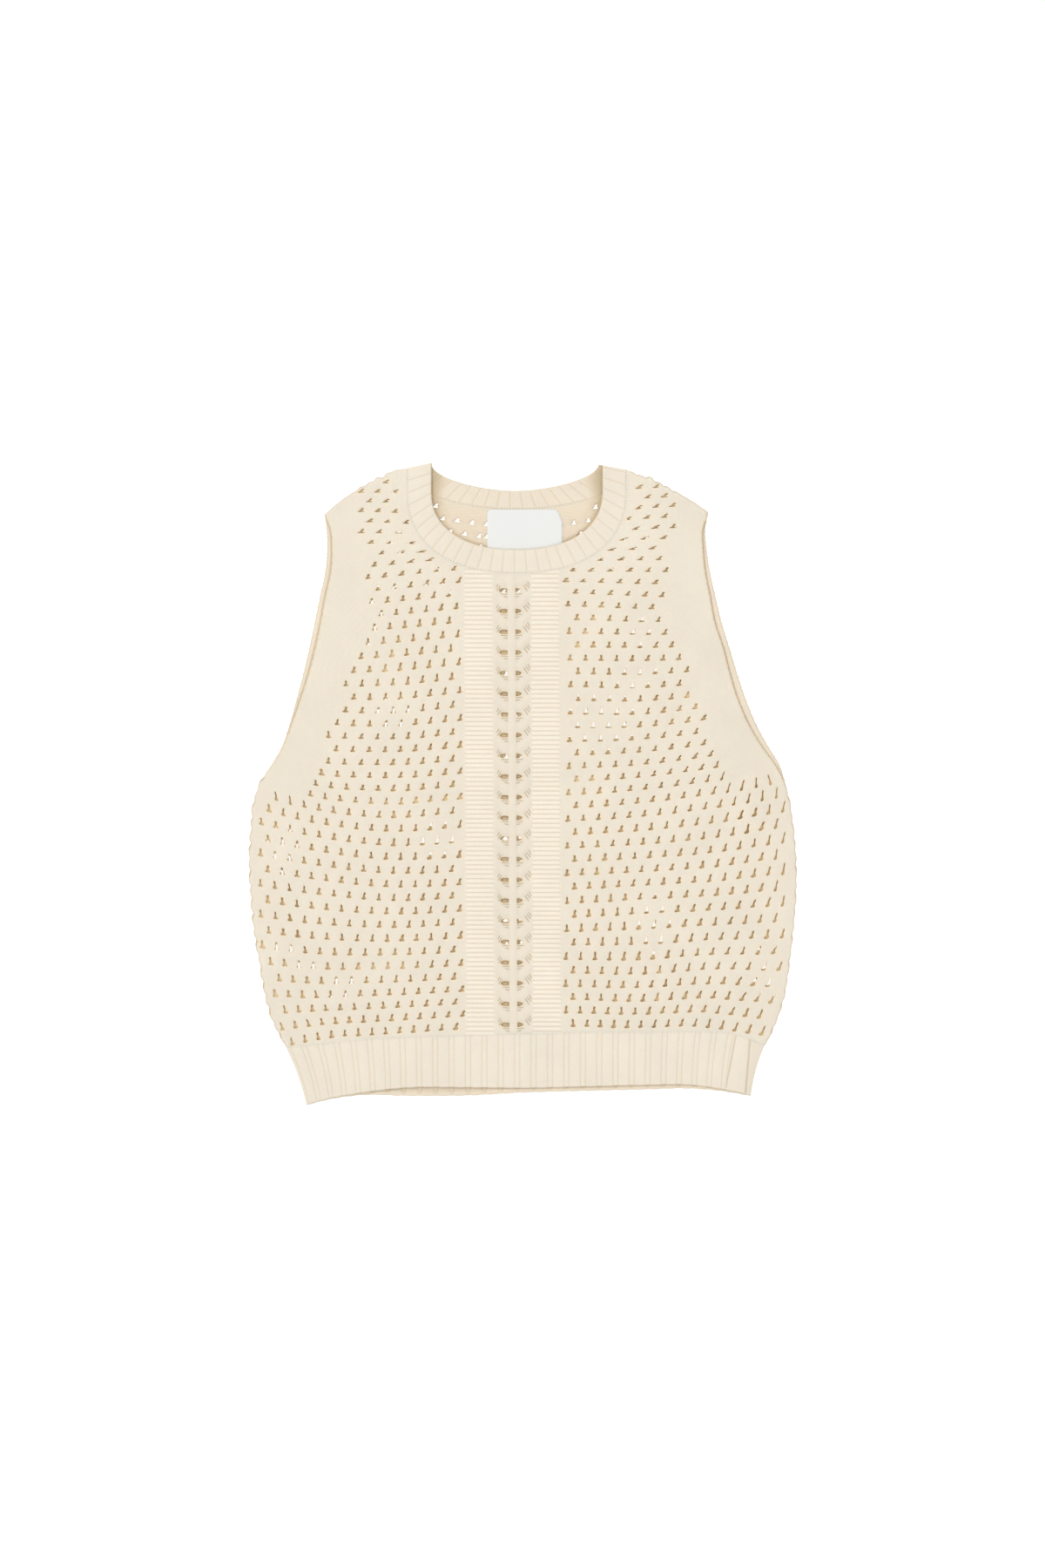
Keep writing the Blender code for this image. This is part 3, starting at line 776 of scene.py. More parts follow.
def samples(edges, kind, extra=()):
    """Points close together along all the edges of one kind and along other closed outlines."""
    lines = [spaced(line, SAMPLE_STEP) for own, line in edges if own == kind]
    lines += [spaced(closed(loop), SAMPLE_STEP) for loop in extra]
    return tree_of(np.concatenate(lines))


Near = namedtuple("Near", "free side sewn")


def edge_trees(edges, holes):
    """The open edges with the holes, the folded sides and the sewn edges of a panel."""
    return Near(samples(edges, "free", holes), samples(edges, "side"), samples(edges, "sewn"))


def ringed(loop, distance, step):
    """Points around a hole, at a distance from its edge."""
    points = spaced(moved_out(closed(loop), distance), step)
    return points[:-1]


def staggered(low, high, step):
    """Points of a staggered grid."""
    rows = []
    for row, up in enumerate(np.arange(low[1], high[1], step * ROW_STEP)):
        across = np.arange(low[0] + (row % 2) * step / 2, high[0], step)
        rows.append(np.stack([across, np.full(len(across), up)], axis=1))
    return np.concatenate(rows)


def thinned(points, step):
    """The points without those that share a small square with an earlier one."""
    cells = np.round(points / step).astype(int)
    _, first = np.unique(cells, axis=0, return_index=True)
    return points[np.sort(first)]


# ---------------------------------------------------------------- heights of the front
def lift(points):
    """How far the front's underside stands over the back's top."""
    x, y = points[:, 0], points[:, 1]
    height = np.clip(y, SIDES[-1].height, SIDES[0].height)
    to_left = x - side_at(height, "left")
    to_right = side_at(height, "right") - x
    over = np.where(x < HEM_MIDDLE, shoulder_at(x, "left"), shoulder_at(x, "right"))
    from_edge = np.minimum(np.minimum(to_left, to_right), over - y)
    loft = LOFT * (1 - np.exp(-((np.maximum(from_edge, 0) / LOFT_REACH) ** LOFT_POWER)))
    neck = NECK_INSIDE
    u_up = np.where(y > neck.top, 0, neck.top - y)
    u_out = (np.abs(x - neck.middle) / neck.half_width) ** neck.squareness
    u_out = (u_out + (u_up / neck.deep) ** neck.squareness) ** (1 / neck.squareness)
    from_neck = np.maximum(u_out - 1, 0) * neck.half_width
    loft *= 1 - (1 - NECK_LOFT / LOFT) * np.exp(-((from_neck / NECK_REACH) ** 2))
    share = np.clip((x - HEM_MIDDLE) / HEM_HALF, -1, 1)
    from_hem = np.maximum(y - hem_at(share, "front")[:, 1], 0)
    return loft * (1 - (1 - HEM_LOFT / LOFT) * np.exp(-((from_hem / HEM_REACH) ** 2)))


def folds(points, table):
    """The rise and fall of folds."""
    total = np.zeros(len(points))
    for fold in table:
        turn = fold.turn * pi / 180
        dx, dy = points[:, 0] - fold.across, points[:, 1] - fold.up
        run, away = dx * sin(turn) + dy * cos(turn), dx * cos(turn) - dy * sin(turn)
        total += fold.rise * np.exp(-((run / fold.half_length) ** 4) - (away / fold.spread) ** 2)
    return total


def front_under(points):
    """Height of the front's underside."""
    loft = lift(points)
    rise = folds(points, FOLDS) + folds(points, GATHERS) + uneven(points)
    return BACK_TOP + np.maximum(loft + rise * np.minimum(loft / LOFT, 1), 0) + 0.05


def uneven(points):
    """The knit never lies quite flat."""
    x, y = points[:, 0], points[:, 1]
    wide = 0.16 * np.sin(x / 11.3 + 1.7 * np.sin(y / 31)) * np.sin(y / 13.7 + 1.3 * np.sin(x / 27))
    return wide + 0.1 * np.sin(x / 5.1 + y / 17) * np.sin(y / 6.3 - x / 23)


def ladder_middle(up):
    """Where the ladder's middle lies across, at a height."""
    share = (FIRST_GAP - np.asarray(up, float)) / (GAP_PITCH * (GAP_PAIRS - 1))
    return LADDER_TOP + (LADDER_LOW - LADDER_TOP) * share


def from_ladder(points):
    """How far each point lies to the right of the ladder's middle."""
    return points[:, 0] - ladder_middle(points[:, 1])


def gap_heights():
    return FIRST_GAP - GAP_PITCH * np.arange(GAP_PAIRS)


def front_relief(points):
    """The raised columns with their ridges, the rib and the lobes in the centre of the front."""
    y, out = points[:, 1], np.abs(from_ladder(points))
    purl = np.clip(np.minimum(out - PURL_INNER, PURL_OUTER - out) / PURL_SHOULDER, 0, 1)
    rise = purl * (PURL_RISE + PURL_RIDGE_RISE * np.cos(2 * pi * y / PURL_RIDGE))
    rise += MID_RIB * rounded(MID_RIB_HALF - np.minimum(out, MID_RIB_HALF), MID_RIB_HALF)
    for up in gap_heights():
        near = np.abs(y - up + GAP_PITCH / 2) < GAP_PITCH
        for crest_out, crest_up in LOBE_CRESTS:
            away = (out[near] - crest_out) ** 2 + (y[near] - up - crest_up) ** 2
            rise[near] += LOBE * np.exp(-away / LOBE_SPREAD**2)
    return rise


# ---------------------------------------------------------------- meshes
def triangles(loops, inner):
    """Triangles, by number of the points given, between an outline, its gaps and the points inside it."""
    edges, start = [], 0
    for loop in loops:
        count = len(loop)
        edges += [(start + i, start + (i + 1) % count) for i in range(count)]
        start += count
    points = np.concatenate([*loops, inner])
    made = delaunay_2d_cdt([Vector(p) for p in points.tolist()], edges, [], 1, 1e-6)
    given = np.array([ids[0] for ids in made[3]])
    faces = given[np.array([list(face) for face in made[2]])]
    middles = points[faces].mean(axis=1)
    tree = tree_of(middles)
    kept = np.ones(len(faces), bool)
    for gap in loops[1:]:
        middle = gap.mean(axis=0)
        reach = np.linalg.norm(gap - middle, axis=1).max()
        near = np.array([i for _, i, _ in tree.find_range((*middle, 0), reach)], int)
        if len(near):
            kept[near[inside(middles[near], gap)]] = False
    return points, faces[kept]


def walls(loops, shift):
    """The narrow faces that join the top's edges to the underside's, whose points are numbered from shift."""
    faces, start = [], 0
    for number, loop in enumerate(loops):
        here = start + np.arange(len(loop))
        after = start + (np.arange(len(loop)) + 1) % len(loop)
        a, b = (here, after) if number == 0 else (after, here)
        faces.append(np.stack([a + shift, b + shift, b, a], axis=1))
        start += len(loop)
    return np.concatenate(faces)


def make_piece(name, coords, faces, kinds, stitches, shades, finishes):
    """A mesh piece. faces are arrays of corners, kinds the finish of each face, stitches one (across, up)
    table of all points for each finish. shades has two values for each point, both painted shade: the share
    of the warm shade of hollows and hole rims, and the share of the darker shade of grooves and outlines,
    which also carries the seams' linking stitches."""
    used, corners = np.unique(np.concatenate([part.ravel() for part in faces]), return_inverse=True)
    sizes = np.concatenate([np.full(len(part), part.shape[1]) for part in faces])
    pieces, start = [], 0
    for part in faces:
        pieces += corners[start : start + part.size].reshape(part.shape).tolist()
        start += part.size
    mesh = bpy.data.meshes.new(name)
    mesh.from_pydata((coords[used] * MM).tolist(), [], pieces)
    for finish in finishes:
        mesh.materials.append(finish)
    mesh.polygons.foreach_set("material_index", kinds.astype(np.int32))
    by_corner = np.repeat(kinds, sizes)
    layer = mesh.uv_layers.new(name="stitches")
    places = np.stack([table[used] for table in stitches])[by_corner, corners]
    layer.data.foreach_set("uv", places.astype(np.float32).ravel())
    for kind, values in zip(("hollow_shade", "line"), shades):
        shade = mesh.attributes.new(kind, "FLOAT", "POINT")
        shade.data.foreach_set("value", np.clip(values[used], 0, 1).astype(np.float32))
    mesh.shade_smooth()
    mesh.set_sharp_from_angle(angle=SHARP * pi / 180)
    piece = bpy.data.objects.new(name, mesh)
    bpy.context.scene.collection.objects.link(piece)
    return piece


def flat_area(loop):
    """Area in square metres inside a closed outline."""
    x, y = loop[:, 0] * MM, loop[:, 1] * MM
    return abs(np.sum(x * np.roll(y, -1) - y * np.roll(x, -1))) / 2


def skins(base, wall, full):
    """Heights of a wall's underside and top, drawn together where full is less than 1."""
    return base + wall / 2 * (1 - full), base + wall / 2 * (1 + full)


def with_underside(shade, low_plan, value):
    """The shade of a top's points, followed by one value for all points of the underside."""
    return np.concatenate([shade, np.full(len(low_plan), value)])


# ---------------------------------------------------------------- the body's panels
def ladder_gaps():
    """The 44 gaps of the ladder."""
    gaps = []
    for up in gap_heights():
        for side, outline in GAP_OUTLINES.items():
            corners = np.array([(ladder_middle(up + dy) + side * dx, up + dy) for dx, dy in outline])
            gaps.append(corners if side > 0 else corners[::-1])
    return gaps


def stroke_lines():
    """Points close together along each small groove of the ladder."""
    lines = []
    for up in gap_heights():
        for side, strokes in STROKES.items():
            for stroke in strokes:
                ends = np.array([(stroke.out, stroke.up), (stroke.out_end, stroke.up_end)])
                ends = np.stack([ladder_middle(up) + side * ends[:, 0], up + ends[:, 1]], axis=1)
                lines.append(spaced(ends, 0.3))
    return lines


def groove_points():
    """Points in each small groove of the ladder, on its slopes and just past it on all sides."""
    points = []
    for line in stroke_lines():
        past = (line[-1] - line[0]) / np.linalg.norm(line[-1] - line[0]) * STROKE_CLEAR
        longer = spaced(np.array([line[0] - past, line[-1] + past]), STROKE_CLEAR)
        points += [moved_out(longer, d) for d in (0, -STROKE_WIDE, STROKE_WIDE, -STROKE_CLEAR, STROKE_CLEAR)]
    return np.concatenate(points)


def front_points(loops, near):
    """Points inside the front's outline: in the grooves, round the holes, on the purl ridges and between."""
    outline = loops[0]
    in_groove = groove_points()
    rings = [ringed(loop, d, s) for loop in loops[1:] for d, s in zip(RINGS, RING_STEPS)]
    rings += [moved_out(closed(outline), -d)[:-1] for d in RINGS]
    rings = np.concatenate(rings)
    rings = rings[nearest(rings, tree_of(in_groove)) > 0.7]
    taken = np.concatenate([in_groove, rings])
    fill = staggered(outline.min(axis=0), outline.max(axis=0), FILL_STEP)
    fill = fill[np.abs(from_ladder(fill)) > PURL_OUTER + 1.5]
    low, high = (LADDER_TOP - PURL_INNER, -225), (LADDER_LOW + PURL_INNER, 195)
    fill = np.concatenate([fill, staggered(low, high, LADDER_STEP)])
    fill = fill[nearest(fill, tree_of(taken)) > 1.2]
    inner = thinned(np.concatenate([taken, purl_points(), fill]), 0.3)
    inner = inner[inside_of(inner, outline)]
    return inner[nearest_edge(inner, *near) > 0.28]


def front_heights(points, near):
    """Heights of the front's underside and top."""
    base = front_under(points)
    open_edge, fold, seam = (nearest(points, tree) for tree in near)
    under, over = skins(base, WALL, 0.3 + 0.7 * rounded(open_edge, FREE_ROUND))
    over = base + (over - base) * (0.25 + 0.75 * rounded(fold, SIDE_ROUND))
    over += front_relief(points) * rounded(open_edge, 1.6) * rounded(fold, 3) * eased(seam, SEAM_EASE)
    return under, over


def front_shades(points, outline, near, groove):
    """Painted shade on the front's top: a warm shade at the rims of the holes, and a darker shade in the
    ladder's small grooves, between its lobes and along the outline.
    """
    hollow_shade = 0.5 * np.exp(-((nearest(points, near.free) / 0.8) ** 1.5))
    # a painted shadow line along the outline, left out beside the sewn edges
    outer = bell_curve(nearest(points, tree_of(spaced(closed(outline), SAMPLE_STEP))), 0.8)
    outer *= nearest(points, near.sewn) > 2
    line = np.maximum.reduce([bell_curve(groove, STROKE_WIDE), 0.7 * outer, recess_shade(points)])
    return hollow_shade, line


def front_kinds(points, faces):
    """The finish of each face: 0 net, 1 purl columns, 2 ladder and 3 underside."""
    out = np.concatenate([np.abs(from_ladder(points[part].mean(axis=1))) for part in faces])
    kinds = np.where(out < PURL_INNER, 2, np.where(out < PURL_OUTER, 1, 0))
    top, low, _ = faces
    kinds[len(top) : len(top) + len(low)] = 3
    return kinds


def front_panel(finishes, draw):
    edges = panel_edges(front=True)
    outline = outline_of(edges)
    loops = [outline, *net_holes(outline, False, draw), *ladder_gaps()]
    near = edge_trees(edges, loops[1:])
    plan, top = triangles(loops, front_points(loops, near))
    below = staggered(outline.min(axis=0), outline.max(axis=0), UNDER_STEP)
    below = below[inside_of(below, outline)]
    low_plan, low = triangles(loops, below[nearest_edge(below, *near) > 1.5])
    _, over = front_heights(plan, near)
    under, _ = front_heights(low_plan, near)
    groove = nearest(plan, tree_of(np.concatenate(stroke_lines())))
    over -= STROKE_DEEP * bell_curve(groove, STROKE_WIDE * 0.8)
    shades = front_shades(plan, outline, near, groove)
    both = np.concatenate([plan, low_plan])
    out = from_ladder(both)
    net = np.concatenate([net_stitches(plan), low_plan / 1.5])
    purl = np.stack([out / PURL_STITCH, both[:, 1] / PURL_RIDGE], axis=1)
    ladder = np.stack([out / STITCH_WIDE + 0.5, both[:, 1] / STITCH_TALL], axis=1)
    faces = [top, low[:, ::-1] + len(plan), walls(loops, len(plan))]
    finish = [finishes[name] for name in ("knit", "purl", "knit", "inside")]
    coords = np.column_stack([both, np.concatenate([over, under])])
    # the underside takes the full warm painted shade and none of the darker one
    shades = [with_underside(shade, low_plan, value) for shade, value in zip(shades, (1.0, 0.0))]
    tables = [net, purl, ladder, both / 1.6]
    piece = make_piece("front_knit", coords, faces, front_kinds(both, faces), tables, shades, finish)
    return piece, flat_area(outline)


def recess_shade(points):
    """Painted shade between the ladder's lobes, deepest where their relief is lowest."""
    low = np.clip(1 - front_relief(points) / 0.45, 0, 1)
    low *= np.clip((PURL_INNER - np.abs(from_ladder(points))) / 2, 0, 1)
    return 0.08 * low * (points[:, 1] < FIRST_GAP + 8)


def purl_points():
    """Points on the crests, slopes and troughs of the purl ridges."""
    rows = []
    for up in np.arange(-240, 205, PURL_RIDGE / 4):
        for mirror in (-1, 1):
            for out in np.linspace(PURL_INNER, PURL_OUTER, 6):
                rows.append((ladder_middle(up) + mirror * out, up))
            for out in (PURL_INNER + PURL_SHOULDER, PURL_OUTER - PURL_SHOULDER):
                rows.append((ladder_middle(up) + mirror * out, up))
    return np.array(rows)


def back_points(outline, holes):
    """Points inside the back's outline: round its holes, along the front's open edges, and between."""
    rings = [ringed(loop, d, s) for loop in holes for d, s in zip(BACK_RINGS, BACK_RING_STEPS)]
    rings += [moved_out(closed(outline), -d)[:-1] for d in BACK_RINGS]
    armholes = [line for kind, line in panel_edges(front=True) if kind == "free"]
    rings += [spaced(moved_out(line, d), 2.0) for line in armholes for d in (-0.8, 0.0, 0.7, 1.5, 2.6)]
    rings += [spaced(moved_out(neck_edge(NECK_INSIDE), -d), 2.2) for d in (0.0, 1.0, 2.2, 3.8, 5.8)]
    rings = np.concatenate(rings)
    fill = staggered(outline.min(axis=0), outline.max(axis=0), BACK_FILL_STEP)
    fill = fill[nearest(fill, tree_of(rings)) > 2.0]
    inner = thinned(np.concatenate([rings, fill]), 0.6)
    return inner[inside_of(inner, outline)]


def back_heights(points, near):
    """Heights of the back's underside and top."""
    open_edge, fold, seam = (nearest(points, tree) for tree in near)
    under, over = skins(0.0, BACK_TOP, 0.3 + 0.7 * rounded(open_edge, FREE_ROUND))
    over = over - (BACK_TOP - WALL) * (1 - eased(seam, 2 * SEAM_ROUND))
    under = under + (over - under) * 0.75 * (1 - rounded(fold, SIDE_ROUND))
    return under, over


def back_panel(finishes, draw):
    edges = panel_edges(front=False)
    outline = outline_of(edges)
    holes = net_holes(outline, True, draw)
    loops = [outline, *holes]
    near = edge_trees(edges, holes)
    inner = back_points(outline, holes)
    away = nearest_edge(inner, *near)
    plan, top = triangles(loops, inner[away > 0.3])
    low_plan, low = triangles(loops, inner[away > 2.7])
    _, over = back_heights(plan, near)
    under, _ = back_heights(low_plan, near)
    hollow_shade, line = back_shades(plan, nearest(plan, near.free))
    # a painted shadow line along the back's outline
    outer = nearest_edge(plan, near.side, samples(edges, "free"))
    line = np.maximum(line, 0.8 * bell_curve(outer, 0.9))
    both = np.concatenate([plan, low_plan])
    coords = np.column_stack([both, np.concatenate([over, under])])
    faces = [top, low[:, ::-1] + len(plan), walls(loops, len(plan))]
    net = np.concatenate([net_stitches(plan), low_plan / 1.5])
    kinds = np.zeros(sum(len(part) for part in faces), int)
    # the underside takes part of the warm painted shade
    shades = [with_underside(hollow_shade, low_plan, 0.3), with_underside(line, low_plan, 0.0)]
    piece = make_piece("back_knit", coords, faces, kinds, [net], shades, [finishes["inside"]])
    return piece, flat_area(outline)


def back_shades(points, open_edge):
    """The back's inner face is shaded under the front and light where the neck or an armhole shows it."""
    x, y = points[:, 0], points[:, 1]
    # painted shade under the front: the full warm shade, and a darker one under the ladder's gaps
    hollow_shade, line = np.ones(len(points)), 0.12 + 0.4 * (np.abs(from_ladder(points)) < PURL_INNER)
    in_neck = inside_of(points, neck_edge(NECK_INSIDE))
    shade = neck_shade(points)
    # in the neck: the neckband's painted shadow, and painted shade at the rims of the holes
    hollow_shade = np.where(in_neck, 0.14 + 0.5 * shade, hollow_shade)
    line = np.where(in_neck, 0.19 + 0.7 * shade + 0.4 * bell_curve(open_edge, 0.9), line)
    height = np.clip(y, SIDES_MEET, TIP_HEIGHT)
    for side in ("left", "right"):
        edge = side_at(height, side, front=True)
        past = (x - edge) * (-1 if side == "left" else 1)
        # past the front's armhole edge: little warm shade, and the painted shadow line that this edge casts
        hollow_shade = np.where(past > 0, 0.05, hollow_shade)
        line = np.where(past > 0, 0.12 + 0.5 * bell_curve(past, 0.9), line)
    return hollow_shade, line


def neck_shade(points):
    """The shade that the front neckband casts on what lies behind it, deepest at the neck's corners."""
    away = nearest(points, tree_of(spaced(neck_edge(NECK_INSIDE), SAMPLE_STEP)))
    corner = np.clip((points[:, 1] - 225) / 45, 0, 1)
    return (0.6 + 0.35 * corner) * bell_curve(away, 2.4 + 9.5 * corner**1.5)


def grid_faces(columns, rows):
    """Faces of a grid whose points are numbered column by column."""
    c, r = np.meshgrid(np.arange(columns - 1), np.arange(rows - 1), indexing="ij")
    a = (c * rows + r).ravel()
    return np.stack([a, a + rows, a + rows + 1, a + 1], axis=1)


def grid_piece(name, plan, under, over, stitches, shades, finish):
    """A band on a grid: plan is columns by rows of points, and all the other tables go with it."""
    columns, rows = plan.shape[:2]
    count = columns * rows
    flat = plan.reshape(-1, 2)
    coords = np.concatenate([np.column_stack([flat, skin.ravel()]) for skin in (over, under)])
    top = grid_faces(columns, rows)
    bottom = top[:, ::-1] + count
    number = np.arange(count).reshape(columns, rows)
    ring = np.concatenate([number[:, 0], number[-1, 1:], number[-2::-1, -1], number[0, -2:0:-1]])
    after = np.roll(ring, -1)
    side = np.stack([ring + count, after + count, after, ring], axis=1)
    faces = [top, bottom, side]
    kinds = np.zeros(sum(len(part) for part in faces), int)
    tables = np.concatenate([stitches.reshape(-1, 2)] * 2)
    # the underside takes part of the warm painted shade
    shades = [with_underside(shade.ravel(), flat, value) for shade, value in zip(shades, (0.6, 0.0))]
    return make_piece(name, coords, faces, kinds, [tables], shades, [finish])


# ---------------------------------------------------------------- bands
def linked(run, from_seam):
    """The row of small linking stitches beside a seam."""
    dots = np.clip(np.cos(2 * pi * run / LINK_PITCH), 0, 1) ** 1.5
    return dots * bell_curve(from_seam - LINK_IN, 0.55)


def hem_rise(place):
    """The profile across the hem's ribs, how deep in a groove each place lies, and its place in its ribs."""
    at = (place + NARROW_HALF) % HEM_RIB_PITCH - NARROW_HALF
    from_middle = at - WIDE_MIDDLE
    narrow = 0.6 - 0.3 * np.abs(at / NARROW_HALF) ** 3
    wide = 1.0 - 0.7 * np.minimum(np.abs(from_middle / WIDE_HALF), 1) ** 4
    wide += 0.05 * np.cos(2 * pi * from_middle / STITCH_WIDE)
    rise = np.where(at < NARROW_HALF, narrow, wide)
    groove = np.maximum(bell_curve(np.abs(at) - NARROW_HALF, 0.5), bell_curve(from_middle - WIDE_HALF, 0.5))
    return np.maximum(rise, 0), groove, at


def back_hem_shade(at, from_edge):
    """Painted shade on the back hem: in the V-shaped notches between the ribs, and deeper towards the front
    hem, which shades it.
    """
    notch = bell_curve(np.abs(at) - 0.6 * (from_edge - 1.8), 0.6) * (from_edge > 1.8)
    return 0.4 * notch * (from_edge < 5.5) + 0.12 + 0.25 * np.clip((from_edge - 2) / 3, 0, 1)


def hem_band(name, line, finish):
    """The front's or the back's hem, by the line of its bottom edge."""
    in_front = line == "front"
    length = 2 * HEM_HALF
    place, down = np.meshgrid(np.linspace(0, length, HEM_COLUMNS), 1 - np.array(HEM_ROWS), indexing="ij")
    plan = hem_point(place / HEM_HALF - 1, down, line)
    rise, groove, at = hem_rise(place - HEM_HALF - HEM_RIB_START)
    from_edge = along(plan[HEM_COLUMNS // 2])[None, :]
    from_seam = from_edge[:, -1:] - from_edge
    from_end = np.minimum(place, length - place)
    plan[:, :, 1] -= 0.55 * (rise - 0.5) * np.exp(-from_edge / 3)
    if in_front:
        rolled, painted_shade, flat_part = rolled_end(plan)
        rise, groove = rise * (1 - flat_part) + 0.9 * flat_part, groove * (1 - flat_part)
        base, rib = front_under(plan.reshape(-1, 2)).reshape(place.shape), FRONT_RIB
    else:
        rolled, painted_shade = 0 * place, back_hem_shade(at, from_edge)
        base, rib = 0 * place, BACK_RIB
    side = rounded(from_end, SIDE_ROUND)
    wall = WALL + (RIB_GROUND + rib * rise - WALL) * eased(from_seam, SEAM_EASE)
    under, over = skins(base, wall, 0.3 + 0.7 * rounded(from_edge, 1.0))
    if in_front:
        over = base + (over - base) * (0.25 + 0.75 * side)
    else:
        under = under + (over - under) * 0.75 * (1 - side)
    dots = linked(place, from_seam)
    over = over + rolled * np.minimum(side, eased(from_seam, 6)) - 0.1 * dots
    outer = bell_curve(np.minimum(from_edge, from_end), 0.7)
    # painted shade in the rib grooves, in the rolled end or the back hem's notches, and as a shadow line
    # along the bottom edge and the ends, with the linking stitches; the back hem gets a little more warm
    # shade
    lines = np.maximum.reduce([0.3 * groove, painted_shade, 0.3 * dots, 0.35 * outer])
    hollow_shade = 0.15 * groove + (0.0 if in_front else 0.1)
    stitches = np.stack([place / STITCH_WIDE, -from_edge[:, ::-1] / STITCH_TALL + 0 * place], axis=-1)
    return grid_piece(name, plan, under, over, stitches, (hollow_shade, lines), finish)


def rolled_end(plan):
    """The front hem's right end rolls under: a fold with two grooves, in place of its last ribs. It also
    gives painted shade in both grooves and on the strip past the outer one.
    """
    inner, outer = from_line(plan, *ROLL_INNER), from_line(plan, *ROLL_OUTER)
    (_, top), (_, bottom) = ROLL_INNER
    share = np.clip((plan[:, :, 1] - top) / (bottom - top), 0, 1)
    past, past_outer = (
        plan[:, :, 0] - (start + (end - start) * share) for (start, _), (end, _) in (ROLL_INNER, ROLL_OUTER)
    )
    rise = 0.45 * bell_curve(past - 7.5, 4.5) - 0.6 * bell_curve(inner, 1.0) - 0.7 * bell_curve(outer, 1.1)
    painted_shade = 0.55 * bell_curve(inner, 0.7) + 0.7 * bell_curve(outer, 0.8)
    painted_shade = np.maximum(painted_shade, 0.12 * np.clip(past_outer / 3, 0, 1))
    return rise, painted_shade, np.clip(past / 2 + 1, 0, 1)


def neck_band(name, free_edge, seam, in_front, finish):
    """Half of the neckband, from shoulder to shoulder."""
    free, sewn = neck_edge(free_edge), neck_edge(seam)
    length = (along(free)[-1] + along(sewn)[-1]) / 2
    columns = int(length / NECK_RIB_PITCH * NECK_RIB_COLUMNS)
    place, out = np.meshgrid(np.linspace(0, length, columns), NECK_ROWS, indexing="ij")
    free, sewn = (at_share(edge, place[:, 0] / length) for edge in (free, sewn))
    plan = sewn[:, None] + (free - sewn)[:, None] * out[..., None]
    width = np.linalg.norm(free - sewn, axis=1)[:, None]
    from_seam, from_edge = out * width, (1 - out) * width
    at = place % NECK_RIB_PITCH
    near = np.minimum(at, NECK_RIB_PITCH - at)
    rise = 0.45 + 0.55 * eased(near, 2.4)
    rise += 0.06 * np.cos(2 * pi * (at - NECK_RIB_PITCH / 2) / NECK_STITCH_WIDE)
    groove = bell_curve(near, 0.6) * np.clip(from_seam / 2, 0, 1)
    flat = plan.reshape(-1, 2)
    if in_front:
        base, rib, shade = front_under(flat).reshape(place.shape), FRONT_RIB, 0 * place
    else:
        base, rib, shade = 0 * place, BACK_RIB, neck_shade(flat).reshape(place.shape)
    wall = WALL + (RIB_GROUND + rib * rise - WALL) * eased(from_seam, SEAM_EASE)
    under, over = skins(base, wall, 0.25 + 0.75 * rounded(from_edge, 1.4))
    dots = linked(place, from_seam)
    # painted shade in the rib grooves, a painted shadow line along the free edge and the front band's painted
    # shadow on the back one, with the linking stitches
    lines = np.maximum.reduce([0.28 * groove, 0.4 * bell_curve(from_edge, 0.7), 0.85 * dots])
    lines = np.maximum(lines + (0.0 if in_front else 0.1), 0.9 * shade)
    hollow_shade = 0.1 * groove + 0.5 * shade
    stitches = np.stack([place / NECK_STITCH_WIDE, from_seam / NECK_STITCH_TALL], axis=-1)
    return grid_piece(name, plan, under, over - 0.2 * dots, stitches, (hollow_shade, lines), finish)


def label(finish):
    """The bare label: a tape with round corners, a little bulged, whose top right corner leans in."""
    across, up = np.meshgrid(np.linspace(0, 1, LABEL_COLUMNS), np.linspace(0, 1, LABEL_ROWS), indexing="ij")
    x = LABEL_LEFT + (LABEL_RIGHT - LABEL_LEFT) * across
    y = LABEL_BOTTOM + (LABEL_TOP - LABEL_BOTTOM) * up
    from_side = np.minimum(x - LABEL_LEFT, LABEL_RIGHT - x)
    from_end = np.minimum(y - LABEL_BOTTOM, LABEL_TOP - y)
    near = np.clip(LABEL_CORNER - from_side, 0, LABEL_CORNER)
    cut = LABEL_CORNER - np.sqrt(LABEL_CORNER**2 - near**2)
    y = y + np.where(up > 0.5, -cut, cut) * (np.abs(up - 0.5) * 2) ** 6
    x = x - LABEL_LEAN * np.clip(1 - (LABEL_TOP - y) / LABEL_LEAN_TALL, 0, 1) * across**3
    plan = np.stack([x, y], axis=-1)
    bulge = 0.35 * np.sin(pi * across) * np.sin(pi * up) + 0.15 * np.sin(2.3 * pi * across + 1)
    under = BACK_TOP + 0.1 + np.maximum(bulge, 0)
    edge = rounded(np.minimum(from_side, from_end), 0.7)
    over = under + LABEL_THICK * (0.35 + 0.65 * edge)
    return grid_piece("neck_label", plan, under, over, plan / 0.5, (0 * x, 0 * x), finish)


# ---------------------------------------------------------------- finishes
def add(tree, kind, **settings):
    """A new node with its own settings."""
    node = tree.nodes.new(kind)
    for name, value in settings.items():
        setattr(node, name, value)
    return node


def feed(tree, socket, value):
    """A link from an output socket, or a plain value."""
    if isinstance(value, bpy.types.NodeSocket):
        tree.links.new(value, socket)
    else:
        socket.default_value = value


def set_values(node, values):
    """Plain values on a node's own sockets, by name."""
    for name, value in values.items():
        node.inputs[name].default_value = value


def maths(tree, operation, *values, clamp=False):
    node = add(tree, "ShaderNodeMath", operation=operation, use_clamp=clamp)
    for socket, value in zip(node.inputs, values):
        feed(tree, socket, value)
    return node.outputs[0]


def mixed(tree, share, first, second):
    node = add(tree, "ShaderNodeMix", data_type="RGBA")
    feed(tree, node.inputs[0], share)
    feed(tree, node.inputs[6], first)
    feed(tree, node.inputs[7], second)
    return node.outputs[2]


